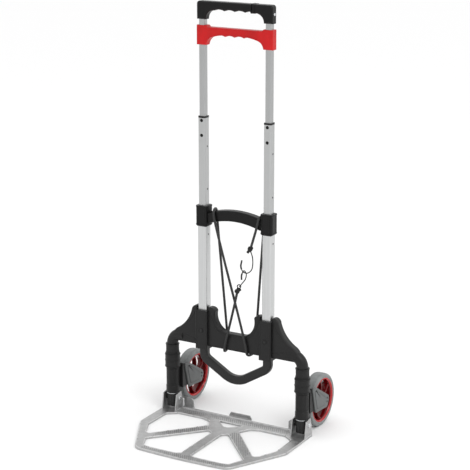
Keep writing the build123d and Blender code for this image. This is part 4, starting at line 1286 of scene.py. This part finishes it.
# ---- bungee cord -------------------------------------------------------------------------
@dataclass
class Bungee:
    """Elastic cord pulled tight over the arch and under the beam, with its knots and hooks."""

    diameter: float = 0.006
    wire: float = 1.35 * MM         # radius of the hooks' wire
    dipped: float = 2.1 * MM        # and of its plastic-dipped tip
    route: list = field(default_factory=lambda: [
        (52.5, -20, 462), (66.5, -15.6, 513), (70.0, -16.5, 533.6), (68.5, 16.5, 532.8), (66, 16.0, 500),
        (45.5, 15.9, 214), (43, 16.5, 182.5), (38, -16.5, 182.5), (36, -15.9, 214),
        (-51, -15.9, 508), (-53, -16.5, 537.0), (-63, 16.5, 535.0), (-61.5, 16.0, 508),
        (-33, 15.9, 214), (-31, 16.5, 182.5), (-25, -16.5, 182.5), (-21, -16.3, 206),
        (8, -21.5, 310), (15.5, -23, 341),
    ])
    upper_hook: list = field(default_factory=lambda: [
        (51.0, -20, 450), (56.5, -20, 432), (55, -20, 408), (44, -20, 395.5), (31, -20, 396),
        (24.5, -20, 408), (27, -20, 424)])
    lower_hook: list = field(default_factory=lambda: [
        (29.5, -25.5, 378), (29.6, -25.2, 390), (33, -20.5, 399.5), (37.0, -16.2, 391), (35, -17.0, 378),
        (27, -20, 366), (21.5, -21.9, 358)])
    eye: tuple = (20.8, -22.2, 359)

    def centre_line(self) -> Points:
        """Points along the cord's NURBS spline, of order 3, whose control points are the route."""
        curve = bpy.data.curves.new("route", "CURVE")
        curve.dimensions = "3D"
        curve.resolution_u = 24
        spline = curve.splines.new("NURBS")
        spline.points.add(len(self.route) - 1)
        for point, at in zip(spline.points, self.route):
            point.co = (*place(at), 1)
        spline.order_u = 3
        spline.use_endpoint_u = True
        holder = bpy.data.objects.new("route", curve)
        mesh = bpy.data.meshes.new_from_object(holder)
        line = np.empty(len(mesh.vertices) * 3)
        mesh.vertices.foreach_get("co", line)
        bpy.data.objects.remove(holder)
        line = line.reshape(-1, 3)
        step = np.linalg.norm(np.diff(line, axis=0), axis=1)
        return line[np.concatenate([[True], step > 1e-7])]

    def build_cord(self, line: Points, run: Points) -> Mesh:
        """Round tube along the cord's line, with a UV map that the braid follows.

        Args:
            line: points of the centre line.
            run: length along the line at each of them.

        Returns:
            The cord's sheath.
        """
        cord = solid("bungee_cord_sheath", [carried(circle(self.diameter / 2, 14), line, (1, 0, 0))])
        self.wrap(cord.data, line, run)
        return cord

    def wrap(self, mesh: bpy.types.Mesh, line: Points, run: Points) -> None:
        """UV map of a tube: U is the angle round the nearest point of its line, V the run there.

        Args:
            mesh: the tube.
            line: points of its centre line.
            run: length along the line at each of them.
        """
        co = np.empty(len(mesh.vertices) * 3)
        mesh.vertices.foreach_get("co", co)
        co = co.reshape(-1, 3)
        near = np.argmin(((co[:, None] - line[None]) ** 2).sum(-1), axis=1)
        tangent = np.gradient(line, axis=0)
        tangent /= np.linalg.norm(tangent, axis=1, keepdims=True)
        first = np.array([1.0, 0, 0]) - tangent * tangent[:, :1]
        first /= np.linalg.norm(first, axis=1, keepdims=True)
        second = np.cross(first, tangent)
        out = co - line[near]
        angle = np.arctan2((out * second[near]).sum(1), (out * first[near]).sum(1)) / math.tau
        loops = np.empty(len(mesh.loops), int)
        mesh.loops.foreach_get("vertex_index", loops)
        u, v = angle[loops], run[near][loops]
        faces = np.repeat(np.arange(len(mesh.polygons)), [p.loop_total for p in mesh.polygons])
        top = np.full(len(mesh.polygons), -9.0)
        np.maximum.at(top, faces, u)
        u = np.where(top[faces] - u > 0.5, u + 1, u)
        layer = mesh.uv_layers.new(name="around_and_along")
        layer.data.foreach_set("uv", np.stack([u, v], -1).ravel())

    def build_knots(self) -> Mesh:
        """Each knot is a trefoil wound tight round the cord's end, with a short tail."""
        grids = []
        for index, toward, tail in ((0, 1, (-0.7, -0.2, -1.0)), (-1, -2, (0.9, -0.4, 0.6))):
            end, back = place(self.route[index]), place(self.route[toward])
            way = (end - back) / np.linalg.norm(end - back)
            side = np.cross(way, (0, 1, 0))
            side /= np.linalg.norm(side)
            third = np.cross(way, side)
            angle = np.linspace(0, 2 * np.pi, 72, endpoint=False)
            loop = np.stack([np.sin(angle) + 2 * np.sin(2 * angle), np.cos(angle) - 2 * np.cos(2 * angle),
                             -2.4 * np.sin(3 * angle)], -1) * 1.5 * MM
            centre = end + way * 0.006
            ring = centre + loop[:, :1] * side + loop[:, 1:2] * third + loop[:, 2:] * way
            closed = np.vstack([ring, ring[:1]])
            grids.append(carried(circle(self.diameter * 0.42, 12), closed, tuple(way + 0.01)))
            stub = np.array(tail) / np.linalg.norm(tail)
            stub_path = centre + np.linspace(0.002, 0.0125, 8)[:, None] * stub
            grids.append(carried(circle(self.diameter * 0.56, 12), stub_path, (0.3, 1, 0.2)))
            run_on = end + np.linspace(-0.002, 0.0138, 8)[:, None] * way
            grids.append(carried(circle(self.diameter * 0.5, 12), run_on, (0.3, 1, 0.2)))
        return solid("bungee_knots", grids)

    def hook(self, name: str, points: list, tip: slice, eye: tuple | None) -> Mesh:
        """Bent wire hook with a dipped tip, and an eye ring where it has one.

        Args:
            name: the piece's name.
            points: places the wire passes, in route millimetres.
            tip: the part of the smoothed wire that the dip covers.
            eye: the eye ring's middle, or None.

        Returns:
            The hook.
        """
        line = smooth_path(place(points), 90)
        grids = [carried(circle(self.wire, 14), line), carried(circle(self.dipped, 14), line[tip])]
        if eye is not None:
            angle = np.linspace(0, 2 * np.pi, 33)
            ring = place(eye) + np.stack(
                [4.0 * MM * np.cos(angle), 1.2 * MM * np.cos(angle), 4.4 * MM * np.sin(angle)], -1)
            grids.append(carried(circle(self.wire, 12), ring, (0.1, 1, 0.1)))
        return solid(name, grids)

    def build(self) -> None:
        """Build the cord, its knots and its hooks."""
        line = self.centre_line()
        run = np.concatenate([[0], np.cumsum(np.linalg.norm(np.diff(line, axis=0), axis=1))])
        cord = fit(self.build_cord(line, run), "frame", "black_cord", CORD_SHEATH, "bungee_cord")
        knots = fit(self.build_knots(), "frame", "black_cord", BLACK_NYLON, "cord_knots")
        upper = self.hook("bungee_hook_upper", self.upper_hook, slice(-22, None), None)
        lower = self.hook("bungee_hook_lower", self.lower_hook, slice(0, 20), self.eye)
        fit(upper, "frame", "black_steel", BLACK_COAT, "cord_hook_upper")
        fit(lower, "frame", "black_steel", BLACK_COAT, "cord_hook_lower")


# ---- studio ------------------------------------------------------------------------------
@dataclass
class Studio:
    """Camera, soft lights and a pale floor."""

    eye: tuple = (1.7483, -3.0749, 1.4447)      # Y counted from the uprights' plane
    azimuth: float = 29.66328
    elevation: float = 15.28148
    lens: float = 117.82

    def back(self) -> Vector:
        """Direction from the object to the camera."""
        a, e = math.radians(self.azimuth), math.radians(self.elevation)
        return Vector((math.sin(a) * math.cos(e), -math.cos(a) * math.cos(e), math.sin(e)))

    def build_camera(self) -> None:
        """Camera with no roll, shift or depth of field."""
        data = bpy.data.cameras.new("studio_camera")
        data.lens, data.sensor_width, data.clip_end = self.lens, 36.0, 100.0
        camera = bpy.data.objects.new("studio_camera", data)
        camera.location = Vector(self.eye) + Vector((0, POST_Y, 0))
        camera.rotation_mode = "QUATERNION"
        camera.rotation_quaternion = (-self.back()).to_track_quat("-Z", "Y")
        bpy.context.scene.collection.objects.link(camera)
        bpy.context.scene.camera = camera

    def build_lamp(self, name: str, at: tuple, aim: tuple, size: float, power: float) -> None:
        """One square soft box.

        Args:
            name: the lamp's name.
            at: its place.
            aim: the point that it faces.
            size: side of the square, in metres.
            power: its power, in watts.
        """
        data = bpy.data.lights.new(name, "AREA")
        data.shape, data.size, data.energy = "SQUARE", size, power
        lamp = bpy.data.objects.new(name, data)
        lamp.location = at
        lamp.rotation_mode = "QUATERNION"
        lamp.rotation_quaternion = (Vector(aim) - Vector(at)).to_track_quat("-Z", "Y")
        bpy.context.scene.collection.objects.link(lamp)

    def build_world(self) -> None:
        """White surround, a little brighter to the right and overhead than in front."""
        world = bpy.data.worlds.new("studio_surround")
        bpy.context.scene.world = world
        world.use_nodes = True
        tree = world.node_tree
        tree.nodes.clear()
        way = add_node(tree, "ShaderNodeTexCoord").outputs["Generated"]
        toward = add_node(tree, "ShaderNodeVectorMath", settings={"operation": "DOT_PRODUCT"},
                          values={1: (0.55, 0.35, 0.75)}, links={0: way})
        level = add_node(tree, "ShaderNodeMapRange", links={"Value": toward.outputs["Value"]},
                         values={"From Min": -0.6, "From Max": 0.9, "To Min": 0.8, "To Max": 1.2})
        sky = add_node(tree, "ShaderNodeBackground", values={0: (1, 1, 1, 1)}, links={1: level.outputs[0]})
        add_node(tree, "ShaderNodeOutputWorld", links={0: sky.outputs[0]})

    def build_floor(self) -> None:
        """Large pale floor under the truck."""
        half, rows = 30.0, 13
        edge = np.linspace(-half, half, rows)
        x, y = np.meshgrid(edge, edge, indexing="ij")
        points = np.stack([x, y, np.zeros_like(x)], -1).reshape(-1, 3)
        r, c = np.meshgrid(np.arange(rows - 1), np.arange(rows - 1), indexing="ij")
        corner = (r * rows + c).ravel()
        quads = np.stack([corner, corner + rows, corner + rows + 1, corner + 1], -1)
        mesh = bpy.data.meshes.new("studio_floor")
        mesh.from_pydata(points, [], quads.tolist())
        floor = bpy.data.objects.new("studio_floor", mesh)
        bpy.context.scene.collection.objects.link(floor)
        dress(floor, StudioFloor("pale_studio_paper", "F4F4F4", 0.9))

    def build(self) -> None:
        """Build all of it."""
        self.build_camera()
        self.build_world()
        self.build_floor()
        self.build_lamp("key_box", (2.6, -1.2, 3.2), (0, 0, 0.5), 1.8, 34.0)
        self.build_lamp("fill_box", (-2.8, -2.4, 2.2), (0, 0, 0.4), 2.2, 8.0)
        scene = bpy.context.scene
        scene.view_settings.view_transform = "Standard"
        scene.view_settings.look = "None"


def dress_cad_nodes() -> None:
    """Finish the CAD nodes that keep their own shape."""
    dress_nodes(OUTER_ALUMINIUM, "outer_tube", both=True)
    dress_nodes(MIDDLE_ALUMINIUM, "middle_tube", both=True)
    dress_nodes(INNER_ALUMINIUM, "inner_tube", both=True)
    dress_nodes(BLACK_NYLON, "tube_ring", "post_collar", "fork_bracket", "wheel_bush", both=True)
    dress_nodes(BLACK_NYLON, "middle_guides", "inner_guides", "lower_crosspiece")
    dress_nodes(JET_NYLON, "ring_studs", "hand_grip", "upper_crosspiece")
    dress_nodes(RED_ABS, "release_bar")
    dress_nodes(BLACK_COAT, "lower_v_bar", "crosspiece_screws", "lock_pins")
    dress_nodes(BRIGHT_ZINC, "wheel_axle", "plate_pin", both=True)
    dress_nodes(BRIGHT_ZINC, "grip_screws", "release_rods", "release_cross_pins")
    dress_nodes(SHEET_ALUMINIUM, "toe_plate")


def main() -> None:
    """Build the studio and every sub-assembly in order."""
    logging.basicConfig(level=logging.INFO, format="%(message)s")
    Studio().build()
    dress_cad_nodes()
    Handle().build()
    Crosspieces().build()
    Posts().build()
    for side in Side:
        Wheel(side).build()
    ToePlate().build()
    TubeHoles().build()
    Bungee().build()


if __name__ == "__main__":
    main()
